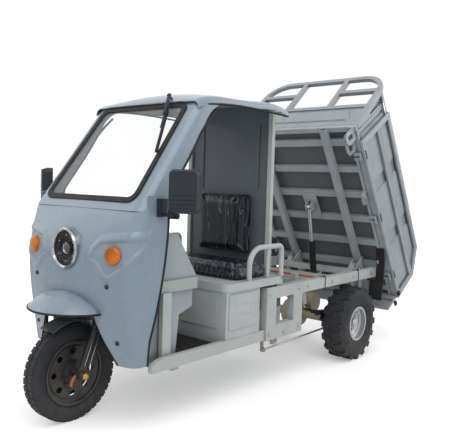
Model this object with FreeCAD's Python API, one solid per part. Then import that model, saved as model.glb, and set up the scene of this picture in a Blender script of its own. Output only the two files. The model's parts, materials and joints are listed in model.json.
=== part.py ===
"""Cargo tricycle with an open-sided cab and a tipping bed, in millimetres.

Z is up, the vehicle faces -Y and its left side is +X. Pieces are drawn from the rear axle line, with the
bed lowered. The bed is then turned about its hinge to the raised pose and everything is moved so that the
origin lies on the ground below the middle of the vehicle.
"""
import FreeCAD, Part
import math
import os

V = FreeCAD.Vector
X_AXIS = V(1, 0, 0)
Y_AXIS = V(0, 1, 0)
Z_AXIS = V(0, 0, 1)

# Driving sizes of the whole vehicle
wheelbase = 2090.0
tip_angle = 58.5
steering_rake = 21.0
overrun = 6.0
running_gap = 0.5
pin_gap = 0.05
pin_radius = 8.0
sheet = 3.0
shell_wall = 5.0

# Front wheel
front_tyre_radius = 254.0
front_tyre_width = 94.0
front_rim_radius = 170.0
front_rim_width = 72.0
front_rim_wall = 4.0
front_rim_well = 22.0
front_disc_wall = 6.0
front_disc_offset = 16.0
front_disc_holes = 8
front_hole_radius = 17.0
front_hole_circle = 112.0
front_hub_radius = 64.0
front_hub_half = 34.0
front_drum_depth = 22.0
front_axle_radius = 9.0
front_axle_nut = 17.0
front_block_depth = 3.5
front_blocks = 40
front_block_length = 31.0
front_block_shares = (0.1, 0.74)
carcass_wall_share = 0.16
carcass_shares = ((0.9, 0.14), (1.0, 0.45), (0.97, 0.68), (0.84, 0.9), (0.6, 1.0))

# Rear wheels
rear_tyre_radius = 264.0
rear_tyre_width = 178.0
rear_tyre_outer = 567.0
rear_rim_radius = 124.0
rear_rim_wall = 5.0
rear_rim_width = 150.0
rear_rim_well = 18.0
rear_dish_depth = 62.0
rear_dish_radius = 78.0
rear_hub_radius = 34.0
rear_hub_cap_depth = 40.0
rear_stud_circle = 55.0
rear_stud_radius = 7.0
rear_stud_height = 12.0
rear_stud_count = 5
rear_lug_depth = 9.0
rear_lugs = 17
rear_lug_width = 38.0
rear_lug_length = 84.0
rear_lug_slant = 24.0
rear_shoulder_share = 0.86

# Rear axle and springs
axle_tube_radius = 34.0
axle_plate_x = 440.0
axle_plate_wall = 8.0
spindle_radius = 16.0
spindle_length = 62.0
axle_drum_radius = 92.0
gearbox_radius = 96.0
gearbox_width = 130.0
motor_radius = 72.0
motor_length = 170.0
motor_fins = 6
motor_fin_depth = 5.0
motor_fin_wall = 8.0
spring_x = 342.0
spring_width = 50.0
spring_leaves = 5
leaf_thickness = 8.0
spring_front = 455.0
spring_rear = 352.0
spring_rise = 80.0
hanger_wall = 7.0
spring_eye_radius = 18.0
leaf_shorten = 82.0
clamp_bolt_radius = 6.0
clamp_plate = 10.0
clamp_pad_share = 3.0
damper_radius = 15.0
damper_rod_radius = 7.0
damper_x = 270.0
damper_top_reach = 60.0
damper_split_share = 0.5

# Chassis frame
rail_outer = 470.0
rail_width = 50.0
rail_top = 630.0
rail_depth = 72.0
rail_wall = 5.0
cab_rail_front = 1071.0
rail_rear = 452.0
cross_width = 46.0
cross_depth = 46.0
cross_places = (-470.0, -290.0, -110.0)
cab_cradle_rear = 1460.0
cradle_bottom = 303.0
cradle_post_front = 97.0
cradle_post_rear = 100.0
cradle_base = 90.0
cradle_plate_depth = 35.0
floor_rail_x = 260.0
floor_rail_width = 46.0
floor_rail_depth = 56.0
cab_floor_rail_front = 315.0
hinge_cross_rear = 382.0
stop_pad_size = 40.0

# Steering head and front frame
fork_offset = 45.0
head_low = 430.0
head_length = 200.0
head_tube_radius = 34.0
stem_radius = 17.0
down_tube_radius = 26.0
cab_down_tube_foot = 338.0
front_cross_half = 300.0
brace_radius = 15.0
brace_top_share = 0.8

# Fork
leg_x = 86.0
slider_radius = 23.0
slider_top = 262.0
slider_bore_bottom = 118.0
stanchion_radius = 16.0
stanchion_bottom = 196.0
clamp_thickness = 24.0
clamp_half_depth = 34.0
clamp_gap = 2.0
fork_lug_radius = 26.0
mudguard_gap = 24.0
mudguard_wall = 3.0
mudguard_width = 125.0
mudguard_front_angle = 32.0
mudguard_rear_angle = 62.0
mudguard_stay = 12.0
mudguard_stay_wall = 5.0
brake_plate_radius = 60.0
brake_plate_wall = 6.0
brake_arm_length = 86.0
brake_arm_width = 20.0

# Handlebar
bar_radius = 11.0
bar_rise = 250.0
bar_clamp_half = 40.0
clamp_block_share = 1.5
bar_shoulder_x = 190.0
bar_lift = 40.0
bar_pull_back = 60.0
bar_half_width = 345.0
bar_bend_radius = 40.0
grip_length = 118.0
grip_radius = 17.0
grip_flange_radius = 23.0
grip_flange = 6.0

# The cab is drawn from the front axle line

# Front fascia: heights, insets, front faces and door edges of its sections
fascia_bottom = 345.0
fascia_levels = (345.0, 600.0, 740.0, 893.0, 1000.0, 1110.0)
fascia_insets = (25.0, 9.0, 4.0, 2.0, 3.0, 7.0)
fascia_fronts = (0.0, -31.0, -41.0, -40.0, -13.0, 50.0)
fascia_crowns = (48.0, 46.0, 42.0, 44.0, 34.0, 8.0)
fascia_corners = (66.0, 72.0, 75.0, 75.0, 74.0, 52.0)
fascia_rears = (140.0, 130.0, 127.0, 123.0, 120.0, 116.0)
arch_top = 610.0
arch_half_top = 176.0
arch_bottom_inset = 129.0
arch_corner = 90.0
arch_depth = 600.0

# Windscreen surround and roof
screen_bottom_z = 1146.0
screen_top_z = 1679.0
screen_bottom_y = 78.0
screen_top_y = 474.0
screen_bottom_inset = 78.0
screen_top_inset = 103.0
screen_corner = 62.0
screen_corner_share = 0.8
screen_cut = 60.0
gasket_width = 30.0
gasket_depth = 18.0
glass_thickness = 5.0
glass_seat = 10.0
pillar_levels = (1110.0, 1170.0, 1300.0, 1430.0, 1560.0, 1690.0)
pillar_insets = (7.0, 9.0, 13.0, 17.0, 21.0, 26.0)
pillar_rears = (130.0, 232.0, 328.0, 422.0, 500.0, 650.0)
pillar_crown = 4.0
pillar_corner = 58.0
roof_stations = (460.0, 530.0, 650.0, 890.0, 1264.0)
roof_insets = (29.0, 26.0, 23.0, 17.0, 13.0)
roof_edges = (1688.0, 1716.0, 1732.0, 1738.0, 1726.0)
roof_crown_rises = (6.0, 20.0, 34.0, 40.0, 34.0)
roof_corner = 40.0
roof_skirt = 44.0
roof_wall = 5.0

# Cab rear wall, posts, floor and sills
cab_rear_y = 1230.0
cab_wall_inset = 99.0
cab_half_width = 459.0
post_size = 30.0
front_post_inset = 49.0
front_post_y = 275.0
cab_wall_bottom = 690.0
cab_rib_width = 26.0
cab_rib_depth = 7.0
cab_ribs = 2
cab_rib_margin = 90.0
floor_top = 341.0
floor_front = 378.0
floor_wing_front = 145.0
floor_wing_inner = 300.0
mat_thickness = 6.0
mat_inset = 59.0
mat_front = 400.0
mat_rear = 698.0
sill_bottom = 308.0
sill_height = 64.0
sill_width = 30.0
sill_front = 148.0
sill_sweep_run = 90.0
sill_sweep_sag = 14.0

# Seat
seat_front = 704.0
seat_box_top = 690.0
seat_box_wall = 4.0
seat_ledge_depth = 46.0
seat_ledge_rear = 1248.0
seat_side_rear = 1014.0
seat_ledge_out = 6.0
seat_ledge_round = 45.0
seat_ledge_rim = 20.0
seat_foot_length = 60.0
seat_foot_width = 45.0
seat_hinge_radius = 6.0
seat_hinge_length = 60.0
seat_hinge_x = 230.0
louvre_front = 793.0
louvre_length = 145.0
louvre_height = 26.0
louvre_depth = 8.0
louvre_levels = (480.0, 540.0)
hasp_width = 34.0
hasp_height = 60.0
hasp_depth = 9.0
seat_hatch_half = 300.0
seat_hatch_front = 880.0
seat_hatch_rear = 1090.0
cushion_inset = 44.0
cushion_front = 834.0
cushion_rear = 1142.0
cushion_height = 92.0
pad_level_shares = ((0.0, 0.9), (0.2, 0.1), (0.55, 0.0), (0.82, 0.35), (1.0, 2.6))
cushion_draw = 14.0
cushion_corner = 60.0
backrest_half_width = 212.0
backrest_bottom = 800.0
backrest_top = 1195.0
backrest_thickness = 80.0
backrest_corner = 60.0
armrest_inset = 11.0
armrest_radius = 16.0
armrest_front = 912.0
armrest_rear = 1234.0
armrest_top = 880.0
armrest_bend = 110.0
armrest_small_bend = 30.0
armrest_bar_share = 0.7
armrest_bar_y = 1090.0

# Front console
console_inset = 61.0
console_front = 146.0
console_rear_top = 364.0
console_rear_mid = 507.0
console_top = 985.0
console_shelf_top = 750.0
console_shelf_bottom = 690.0
console_column_inset = 75.0
console_column_rear = 498.0
console_knee_z = 590.0
console_foot_rear = 378.0
console_knee_rear = 400.0
console_knee_drop = 34.0
console_lip = 14.0
console_wall = 5.0
console_slot_half = 70.0
console_slot_rear = 374.0
console_slot_depth = 60.0

# Nose visor
visor_centre_y = 4.0
visor_base_z = 592.0
visor_half_width = 206.0
visor_reach = 178.0
visor_height = 112.0
visor_wall = 5.0
visor_unit_share = 1.0

# Lamps
headlight_z = 902.0
headlight_radius = 106.0
headlight_ring_width = 17.0
headlight_stand = 24.0
headlight_depth = 66.0
headlight_lens_thickness = 5.0
projector_radius = 34.0
projector_depth = 46.0
indicator_inset = 126.0
indicator_z = 893.0
indicator_radius = 46.0
indicator_depth = 26.0
indicator_turn = 14.0
indicator_y = -2.0
indicator_dome_share = 0.8
indicator_rise_share = 1.15

# Mirrors and wiper
mirror_reach = 69.0
mirror_pivot_y = 186.0
mirror_bracket_z = 1128.0
mirror_arm_z = 1094.0
mirror_foot_inset = 19.0
mirror_bracket_height = 88.0
mirror_bracket_depth = 52.0
mirror_bracket_wall = 14.0
mirror_arm_radius = 9.0
mirror_stalk_height = 150.0
mirror_width = 138.0
mirror_height = 214.0
mirror_yaw = 30.0
mirror_depth = 62.0
mirror_corner = 30.0
mirror_wall = 5.0
mirror_ribs = 4
mirror_rib_share = 0.5
mirror_socket = 13.0
wiper_x = 198.0
wiper_above = 34.0
wiper_shaft_depth = 8.0
wiper_lift = 28.0
wiper_shaft_radius = 7.0
wiper_arm_length = 250.0
wiper_arm_thick = 7.0
wiper_blade_length = 330.0
wiper_blade_width = 9.0
wiper_blade_drop = 14.0
wiper_rest = 20.0

# Brake linkage
pedal_x = -170.0
pedal_pivot_y = 570.0
pedal_pivot_z = 372.0
pedal_arm = 110.0
pedal_lean = 38.0
pedal_ear = 6.0
pedal_pad_width = 70.0
pedal_pad_length = 56.0
pedal_pad_thick = 10.0
pedal_bush = 16.0
cab_brake_shaft = 1185.0
brake_shaft_z = 286.0
brake_shaft_radius = 11.0
brake_shaft_half = 468.0
brake_arm_drop = 76.0
brake_arm_thick = 12.0
brake_link_x = 356.0
brake_rod_radius = 6.0
brake_rod_rear = -62.0
brake_rod_lift = 22.0
brake_eye_play = 3.0
brake_eye_half = 8.0

# Battery and wiring
battery_half_width = 330.0
cab_battery_front = 1110.0
cab_battery_rear = 1418.0
battery_height = 170.0
battery_corner = 12.0
battery_count = 4
battery_gap = 4.0
loom_radius = 6.0
loom_start_x = -380.0
loom_inset = 15.0
loom_rear = 330.0
loom_bend = 60.0

# Bed, drawn lowered
bed_front = -715.0
bed_length = 1540.0
bed_half_width = 545.0
bed_floor_z = 690.0
bed_cross_height = 35.0
bed_tube_wall = 4.0
bed_edge = 22.0
side_height = 496.0
side_thickness = 34.0
side_skin = 3.0
side_gap = 4.0
side_end_drop = 112.0
side_end_run = 173.0
side_panels = 3
side_panel_margin = 42.0
side_panel_taper = 10.0
side_panel_corner = 30.0
side_panel_depth = 12.0
headboard_height = 299.0
headboard_thickness = 36.0
bed_floor_step = 1.0
headboard_lean = 10.0
headboard_skin = 4.0
rack_height = 388.0
rack_tube = 38.0
rack_tube_depth = 30.0
rack_corner = 190.0
rack_upright_x = 190.0
rack_bar_share = 0.5
stringer_x = 297.0
stringer_width = 50.0
stringer_depth = 40.0
gusset_pocket = 16.0
gusset_rim = 14.0
gusset_pocket_share = 0.45
press_inset = 60.0
press_depth = 10.0
bed_cross_count = 7
bed_cross_width = 50.0
bed_cross_share = 0.55
skirt_depth = 155.0
skirt_wall = 26.0
tailgate_thickness = 32.0
tailgate_hinge_shares = (-0.7, 0.0, 0.7)
tailgate_strap = 30.0
hinge_y = 449.0
hinge_z = 682.0
hinge_lug_radius = 20.0
hinge_ear_width = 10.0
side_hinge_radius = 9.0
side_hinge_pin = 4.0
side_hinge_length = 60.0
side_hinge_shares = (0.15, 0.5, 0.85)
tail_lamp_width = 130.0
tail_lamp_height = 62.0
tail_lamp_depth = 18.0
tail_lamp_margin = 60.0
bed_mudguard_inner = 478.0
bed_mudguard_wall = 4.0
bed_mudguard_places = (330.0, 450.0, 560.0, 665.0)
bed_mudguard_heights = (690.0, 640.0, 560.0, 465.0)
lock_plate_wall = 8.0
lock_plate_width = 96.0
lock_plate_drop = 128.0
lock_window_share = 0.3
stub_width = 60.0
stub_drop = 46.0
stub_share = 0.36
latch_radius = 5.0
latch_arm = 62.0
latch_inset = 40.0
latch_drop = 46.0
latch_width = 20.0
latch_thick = 10.0

# Tipping ram
ram_eye_y = -49.5
ram_eye_drop = 45.5
ram_base_y = 260.0
ram_base_z = 520.0
ram_barrel_radius = 27.0
ram_rod_radius = 14.0
ram_eye_radius = 22.0
ram_eye_width = 30.0
ram_neck = 26.0
ram_bottom = 8.0
ram_cheek = 10.0
ram_arm_share = 0.8
ram_barrel_length = 296.0
ram_rod_overlap = 18.0
ram_cheek_gap = 3.0
ram_plate_half = 60.0

# Derived places
rake = math.radians(steering_rake)
tip = math.radians(tip_angle)
steer_axis = V(0, math.sin(rake), math.cos(rake))
axis_normal = V(0, math.cos(rake), -math.sin(rake))
front_roll_radius = math.sqrt(front_tyre_radius ** 2 - (front_block_length / 2) ** 2)
front_centre = V(0, -wheelbase, front_roll_radius)
rail_front = cab_rail_front - wheelbase
cradle_rear = cab_cradle_rear - wheelbase
floor_rail_front = cab_floor_rail_front - wheelbase
down_tube_foot_y = cab_down_tube_foot - wheelbase
brake_shaft_y = cab_brake_shaft - wheelbase
battery_front = cab_battery_front - wheelbase
battery_rear = cab_battery_rear - wheelbase
fascia_half_widths = [cab_half_width - inset for inset in fascia_insets]
pillar_half_widths = [cab_half_width - inset for inset in pillar_insets]
roof_half_widths = [cab_half_width - inset for inset in roof_insets]
screen_bottom_half = cab_half_width - screen_bottom_inset
screen_top_half = cab_half_width - screen_top_inset
arch_half_bottom = cab_half_width - arch_bottom_inset
indicator_x = cab_half_width - indicator_inset
console_half_width = cab_half_width - console_inset
console_column_half = cab_half_width - console_column_inset
front_post_x = cab_half_width - front_post_inset
cab_wall_half = cab_half_width - cab_wall_inset
mat_half_width = cab_half_width - mat_inset
armrest_x = cab_half_width - armrest_inset
cushion_half_width = cab_half_width - cushion_inset
mirror_pivot_x = cab_half_width + mirror_reach
mirror_foot_x = cab_half_width - mirror_foot_inset
seat_hinge_y = cushion_rear + seat_hinge_radius + running_gap
seat_hinge_z = seat_box_top + seat_hinge_radius
bed_mudguard_path = list(zip(bed_mudguard_places, bed_mudguard_heights))
steer_base = front_centre + axis_normal * fork_offset
rear_centre_x = rear_tyre_outer - rear_tyre_width / 2
bed_rear = bed_front + bed_length
hinge = V(0, hinge_y, hinge_z)
ram_base = V(0, ram_base_y, ram_base_z)
bed_top_corner = V(0, bed_rear - side_end_run, bed_floor_z + side_height)


def raised(point):
    """Return a point of the lowered bed in the raised pose."""
    dy = point.y - hinge_y
    dz = point.z - hinge_z
    return V(point.x, hinge_y + dy * math.cos(tip) + dz * math.sin(tip),
             hinge_z - dy * math.sin(tip) + dz * math.cos(tip))


vehicle_front = -wheelbase - front_roll_radius
vehicle_rear = raised(bed_top_corner).y
frame_shift = -(vehicle_front + vehicle_rear) / 2


def box(x0, x1, y0, y1, z0, z1):
    """Return a block between two corners."""
    return Part.makeBox(x1 - x0, y1 - y0, z1 - z0, V(x0, y0, z0))


def rod(start, end, radius):
    """Return a round bar between two points."""
    run = end - start
    return Part.makeCylinder(radius, run.Length, start, run)


def fused(shapes):
    """Return one shape made of all the given shapes."""
    shapes = list(shapes)
    if len(shapes) == 1:
        return shapes[0]
    return shapes[0].multiFuse(shapes[1:]).removeSplitter()


def mirrored(shape):
    """Return the shape on the other side of the vehicle."""
    return shape.mirror(V(0, 0, 0), X_AXIS)


def both_sides(shape):
    """Return the shape and its mirror image as a group."""
    return Part.makeCompound([shape, mirrored(shape)])


def turned(shape, angle, centre, axis):
    """Return the shape turned about an axis through a point."""
    result = shape.copy()
    result.rotate(centre, axis, angle)
    return result


def rounded_path(points, radius):
    """Return a wire of straight runs joined by tangent arcs."""
    edges = []
    last = points[0]
    for before, corner, after in zip(points, points[1:], points[2:]):
        back = (before - corner).normalize()
        ahead = (after - corner).normalize()
        half = back.getAngle(ahead) / 2
        reach = radius / math.tan(half)
        bisector = (back + ahead).normalize()
        start = corner + back * reach
        end = corner + ahead * reach
        middle = corner + bisector * (radius / math.sin(half) - radius)
        edges.append(Part.LineSegment(last, start).toShape())
        edges.append(Part.Arc(start, middle, end).toShape())
        last = end
    edges.append(Part.LineSegment(last, points[-1]).toShape())
    return Part.Wire(edges)


def round_tube(points, radius, bend):
    """Return a round bar along a bent path."""
    path = rounded_path(points, bend)
    circle = Part.makeCircle(radius, points[0], points[1] - points[0])
    return path.makePipeShell([Part.Wire(circle)], True, False)


def polygon(points):
    """Return a face bounded by straight edges."""
    return Part.Face(Part.makePolygon(list(points) + [points[0]]))


def side_profile(pairs, x0, x1):
    """Return a bar across the vehicle with a side outline of (y, z) pairs."""
    face = polygon([V(x0, y, z) for y, z in pairs])
    return face.extrude(V(x1 - x0, 0, 0))


def rounded_outline(corners, radius):
    """Return a closed wire through the corners with rounded turns."""
    edges = []
    ends = []
    count = len(corners)
    for index, corner in enumerate(corners):
        back = (corners[index - 1] - corner).normalize()
        ahead = (corners[(index + 1) % count] - corner).normalize()
        half = back.getAngle(ahead) / 2
        reach = radius / math.tan(half)
        bisector = (back + ahead).normalize()
        middle = corner + bisector * (radius / math.sin(half) - radius)
        ends.append((corner + back * reach, middle, corner + ahead * reach))
    for index, (start, middle, end) in enumerate(ends):
        edges.append(Part.Arc(start, middle, end).toShape())
        edges.append(Part.LineSegment(end, ends[(index + 1) % count][0]).toShape())
    return Part.Wire(edges)


def rounded_prism(corners, radius, run):
    """Return a prism with a rounded outline."""
    return Part.Face(rounded_outline(corners, radius)).extrude(run)


def u_wire(place, half, front, crown, corner, rear, wall):
    """Return a closed U outline of constant wall; place maps (across, along) to a point."""
    def side(inset):
        width = half - inset
        turn = corner - inset
        face = front + inset
        flank = width - turn
        shoulder = face + crown + turn
        diagonal = turn * (1 - math.sqrt(0.5))
        return [(-width, rear), (-width, shoulder), (-width + diagonal, face + crown + diagonal),
                (-flank, face + crown), (0, face), (flank, face + crown),
                (width - diagonal, face + crown + diagonal), (width, shoulder), (width, rear)]
    outer = [place(*pair) for pair in side(0)]
    inner = [place(*pair) for pair in side(wall)]
    edges = []
    for points in (outer, inner[::-1]):
        edges.append(Part.LineSegment(points[0], points[1]).toShape())
        edges.append(Part.Arc(points[1], points[2], points[3]).toShape())
        edges.append(Part.Arc(points[3], points[4], points[5]).toShape())
        edges.append(Part.Arc(points[5], points[6], points[7]).toShape())
        edges.append(Part.LineSegment(points[7], points[8]).toShape())
        other = inner[-1] if points is outer else outer[0]
        edges.append(Part.LineSegment(points[8], other).toShape())
    return Part.Wire(edges)


def ring(radius_out, radius_in, x0, x1, centre):
    """Return a plain ring about an axle along X."""
    start = V(x0, centre.y, centre.z)
    outer = Part.makeCylinder(radius_out, x1 - x0, start, X_AXIS)
    inner = Part.makeCylinder(radius_in, x1 - x0 + 2 * overrun, start - X_AXIS * overrun, X_AXIS)
    return outer.cut(inner)


def wheel_turn(points, centre):
    """Return a body of revolution about an axle along X, from (x, radius) pairs."""
    corners = [V(centre.x + x, centre.y, centre.z + radius) for x, radius in points]
    return polygon(corners).revolve(centre, X_AXIS, 360)


pieces = {}


def add(name, shape):
    """Keep a finished piece under its node name."""
    pieces[name] = shape


# Chassis frame with battery cradle
def chassis_frame():
    inner = rail_outer - rail_width
    low = rail_top - rail_depth
    rails = box(inner, rail_outer, rail_front, rail_rear, low, rail_top)
    cradle = box(inner, rail_outer, rail_front, cradle_rear, cradle_bottom, rail_top)
    window = box(inner - overrun, rail_outer + overrun, rail_front + cradle_post_front,
                 cradle_rear - cradle_post_rear, cradle_bottom + cradle_base, low)
    side = rails.fuse(cradle.cut(window))
    parts = [side, mirrored(side)]
    for place in cross_places:
        parts.append(box(-inner, inner, place - cross_width / 2, place + cross_width / 2,
                         rail_top - rail_depth, rail_top - rail_depth + cross_depth))
    parts.append(box(-inner, inner, hinge_cross_rear - cross_width, hinge_cross_rear,
                     rail_top - rail_depth, rail_top - rail_depth + cross_depth))
    tray_top = cradle_bottom + cradle_plate_depth
    for place in (rail_front, cradle_rear - cross_width):
        parts.append(box(-inner, inner, place, place + cross_width, cradle_bottom, tray_top))
    floor_low = floor_top - sheet - floor_rail_depth
    lower = box(floor_rail_x - floor_rail_width / 2, floor_rail_x + floor_rail_width / 2, floor_rail_front,
                cradle_rear, floor_low, floor_top - sheet)
    parts += [lower, mirrored(lower)]
    parts.append(box(-cab_half_width + sill_width, cab_half_width - sill_width, floor_rail_front,
                     floor_rail_front + floor_rail_width, floor_low, floor_top - sheet))
    cross_low = rail_top - rail_depth
    cross_high = cross_low + cross_depth
    ear_gap = stringer_width / 2 + running_gap
    for start in (stringer_x - ear_gap - hinge_ear_width, stringer_x + ear_gap):
        arm = side_profile([(hinge_cross_rear - cross_width, cross_high), (hinge_cross_rear, cross_low),
                            (hinge_y + hinge_lug_radius, hinge_z), (hinge_y - hinge_lug_radius, hinge_z)],
                           start, start + hinge_ear_width)
        eye = Part.makeCylinder(hinge_lug_radius, hinge_ear_width, V(start, hinge_y, hinge_z), X_AXIS)
        ear = arm.fuse(eye)
        parts += [ear, mirrored(ear)]
    cheek_start = ram_eye_width / 2 + running_gap
    for start in (cheek_start, -cheek_start - ram_cheek):
        arm = side_profile([(hinge_cross_rear - cross_width, cross_low), (hinge_cross_rear, cross_low),
                            (ram_base_y + ram_eye_radius / 2, ram_base_z - ram_eye_radius * ram_arm_share),
                            (ram_base_y, ram_base_z - ram_eye_radius), (ram_base_y,
                                                                   ram_base_z)], start, start + ram_cheek)
        eye = Part.makeCylinder(ram_eye_radius, ram_cheek, V(start, ram_base_y, ram_base_z), X_AXIS)
        parts.append(arm.fuse(eye))
    for place in (cross_places[0], hinge_cross_rear - cross_width / 2):
        for side in (1, -1):
            pad = box(-stop_pad_size / 2, stop_pad_size / 2, -stop_pad_size / 2, stop_pad_size / 2,
                      0, bed_floor_z - stringer_depth - running_gap - cross_high)
            pad.translate(V(side * stringer_x, place, cross_high))
            parts.append(pad)
    parts += brake_bearings()
    for plate in spring_hangers():
        parts += [plate, mirrored(plate)]
    frame = fused(parts)
    bore = box(inner + rail_wall, rail_outer - rail_wall, cradle_rear, rail_rear + overrun, low + rail_wall,
               rail_top - rail_wall)
    frame = frame.cut(bore).cut(mirrored(bore))
    pin_line = V(-rail_outer, hinge_y, hinge_z)
    frame = frame.cut(Part.makeCylinder(pin_radius + pin_gap, 2 * rail_outer, pin_line, X_AXIS))
    ram_line = V(-rail_outer / 2, ram_base_y, ram_base_z)
    frame = frame.cut(Part.makeCylinder(pin_radius + pin_gap, rail_outer, ram_line, X_AXIS))
    shaft_line = V(-rail_outer - overrun, brake_shaft_y, brake_shaft_z)
    frame = frame.cut(Part.makeCylinder(brake_shaft_radius + pin_gap, 2 * (rail_outer + overrun),
                                        shaft_line, X_AXIS))
    for reach in (-spring_front, spring_rear):
        eye_line = spring_eye(reach) - X_AXIS * (3 * spring_x)
        frame = frame.cut(Part.makeCylinder(pin_radius + pin_gap, 4 * spring_x, eye_line, X_AXIS))
    return frame


def hinge_pins():
    half = stringer_width / 2 + running_gap + hinge_ear_width
    start = V(stringer_x - half - overrun, hinge_y, hinge_z)
    pin = Part.makeCylinder(pin_radius, 2 * (half + overrun), start, X_AXIS)
    ram_half = ram_eye_width / 2 + running_gap + ram_cheek
    ram_pin = Part.makeCylinder(pin_radius, 2 * (ram_half + overrun),
                                V(-ram_half - overrun, ram_base_y, ram_base_z), X_AXIS)
    return Part.makeCompound([pin, mirrored(pin), ram_pin])


# Front frame with the steering head
def on_axis(distance):
    """Return the point of the steering axis at a distance from its foot beside the wheel centre."""
    return steer_base + steer_axis * distance


def front_frame():
    head = rod(on_axis(head_low), on_axis(head_low + head_length), head_tube_radius)
    foot_z = floor_top - sheet - floor_rail_depth / 2
    foot = V(0, down_tube_foot_y, foot_z)
    spine = rod(on_axis(head_low + head_length / 2), foot, down_tube_radius)
    frame = fused([head, spine])
    for brace_x in (floor_rail_x, -floor_rail_x):
        top = on_axis(head_low + head_length * brace_top_share)
        frame = frame.fuse(rod(top, V(brace_x, down_tube_foot_y, foot_z), brace_radius))
    bore = rod(on_axis(head_low - overrun), on_axis(head_low + head_length + overrun),
               stem_radius + running_gap)
    below = box(-front_cross_half, front_cross_half, floor_rail_front - front_cross_half,
                floor_rail_front + front_cross_half, 0, floor_top - sheet)
    return frame.cut(fused([bore, below]))


# Steering fork, sliders and front wheel
def along_leg(distance, x):
    """Return a point on a fork leg at a distance above the front axle."""
    point = front_centre + steer_axis * distance
    return V(x, point.y, point.z)


def yoke(low):
    """Return one fork clamp whose underside is at a distance up the axis."""
    face = rounded_outline([V(-leg_x - slider_radius, -clamp_half_depth - fork_offset / 2, 0),
                            V(leg_x + slider_radius, -clamp_half_depth - fork_offset / 2, 0),
                            V(leg_x + slider_radius, clamp_half_depth - fork_offset / 2, 0),
                            V(-leg_x - slider_radius, clamp_half_depth - fork_offset / 2,
                              0)], slider_radius)
    plate = Part.Face(face).extrude(V(0, 0, clamp_thickness))
    plate.rotate(V(0, 0, 0), X_AXIS, -steering_rake)
    plate.translate(on_axis(low))
    return plate


def steering_fork():
    low_clamp = head_low - clamp_gap - clamp_thickness
    high_clamp = head_low + head_length + clamp_gap
    parts = [yoke(low_clamp), yoke(high_clamp)]
    parts.append(rod(on_axis(low_clamp), on_axis(low_clamp + bar_rise + head_length), stem_radius))
    top = high_clamp + clamp_thickness
    for x in (leg_x, -leg_x):
        parts.append(rod(along_leg(stanchion_bottom, x), along_leg(top, x), stanchion_radius))
    bar = on_axis(low_clamp + bar_rise + head_length)
    block = Part.makeCylinder(stem_radius * clamp_block_share, 2 * bar_clamp_half,
                              V(-bar_clamp_half, bar.y, bar.z), X_AXIS)
    hole = Part.makeCylinder(bar_radius, 2 * bar_half_width, V(-bar_half_width, bar.y, bar.z), X_AXIS)
    return fused(parts + [block]).cut(hole)


def bar_points():
    """Return the points of the handlebar's right half path, from the middle to its end."""
    middle = on_axis(head_low - clamp_gap - clamp_thickness + bar_rise + head_length)
    shoulder = middle + V(bar_clamp_half + bar_bend_radius, 0, 0)
    raised_end = V(bar_shoulder_x, middle.y + bar_pull_back / 2, middle.z + bar_lift)
    end = V(bar_half_width, middle.y + bar_pull_back, middle.z + bar_lift)
    return middle, shoulder, raised_end, end


def handlebar():
    middle, shoulder, raised_end, end = bar_points()
    flip = [V(-p.x, p.y, p.z) for p in (end, raised_end, shoulder)]
    path = flip + [shoulder, raised_end, end]
    return round_tube(path, bar_radius, bar_bend_radius)


def grip(side):
    """Return one grip sleeve with its flange, on the side +1 or -1."""
    middle, shoulder, raised_end, end = bar_points()
    run = (end - raised_end).normalize()
    start = end - run * grip_length
    outer = rod(start, end + run * overrun, grip_radius).fuse(rod(start - run * grip_flange, start,
                                                                  grip_flange_radius))
    inner = rod(start - run * grip_length, end, bar_radius + pin_gap)
    sleeve = outer.cut(inner)
    return sleeve if side > 0 else mirrored(sleeve)


def fork_sliders():
    legs = []
    for x in (leg_x, -leg_x):
        leg = rod(along_leg(-fork_lug_radius / 2, x), along_leg(slider_top, x), slider_radius)
        lug = Part.makeCylinder(fork_lug_radius, 2 * slider_radius,
                                V(x - slider_radius, front_centre.y, front_centre.z), X_AXIS)
        leg = leg.fuse(lug)
        leg = leg.cut(rod(along_leg(slider_bore_bottom, x), along_leg(slider_top + overrun, x),
                          stanchion_radius + pin_gap))
        leg = leg.cut(Part.makeCylinder(front_axle_radius + pin_gap, 4 * leg_x,
                                        V(-2 * leg_x, front_centre.y, front_centre.z), X_AXIS))
        legs.append(leg)
    return Part.makeCompound(legs)


def front_mudguard():
    inner = front_tyre_radius + mudguard_gap
    half = mudguard_width / 2
    profile = [(-half, inner), (half, inner), (half, inner + mudguard_wall), (-half, inner + mudguard_wall)]
    corners = [V(x, front_centre.y, front_centre.z + radius) for x, radius in profile]
    sweep = mudguard_front_angle + mudguard_rear_angle
    blade = polygon(corners).revolve(front_centre, X_AXIS, -sweep)
    blade.rotate(front_centre, X_AXIS, mudguard_front_angle)
    stay = box(half - mudguard_stay_wall, half, -mudguard_stay, mudguard_stay,
               slider_top - 2 * mudguard_stay, inner + mudguard_wall / 2)
    stay.rotate(V(0, 0, 0), X_AXIS, -steering_rake)
    stay.translate(front_centre)
    return fused([blade, stay, mirrored(stay)])


def front_axle():
    half = leg_x + slider_radius + front_axle_nut
    parts = [Part.makeCylinder(front_axle_radius, 2 * half, front_centre - X_AXIS * half, X_AXIS)]
    for side in (1, -1):
        hub_end = front_hub_half + running_gap
        collar = hub_end + (brake_plate_wall if side > 0 else 0)
        run = X_AXIS * side
        parts.append(Part.makeCylinder(front_axle_nut, leg_x - slider_radius - collar,
                                       front_centre + run * collar, run))
        nut_face = leg_x + slider_radius
        parts.append(Part.makeCylinder(front_axle_nut, front_axle_nut / 2, front_centre + run * nut_face,
                                       run))
    return fused(parts)


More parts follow.
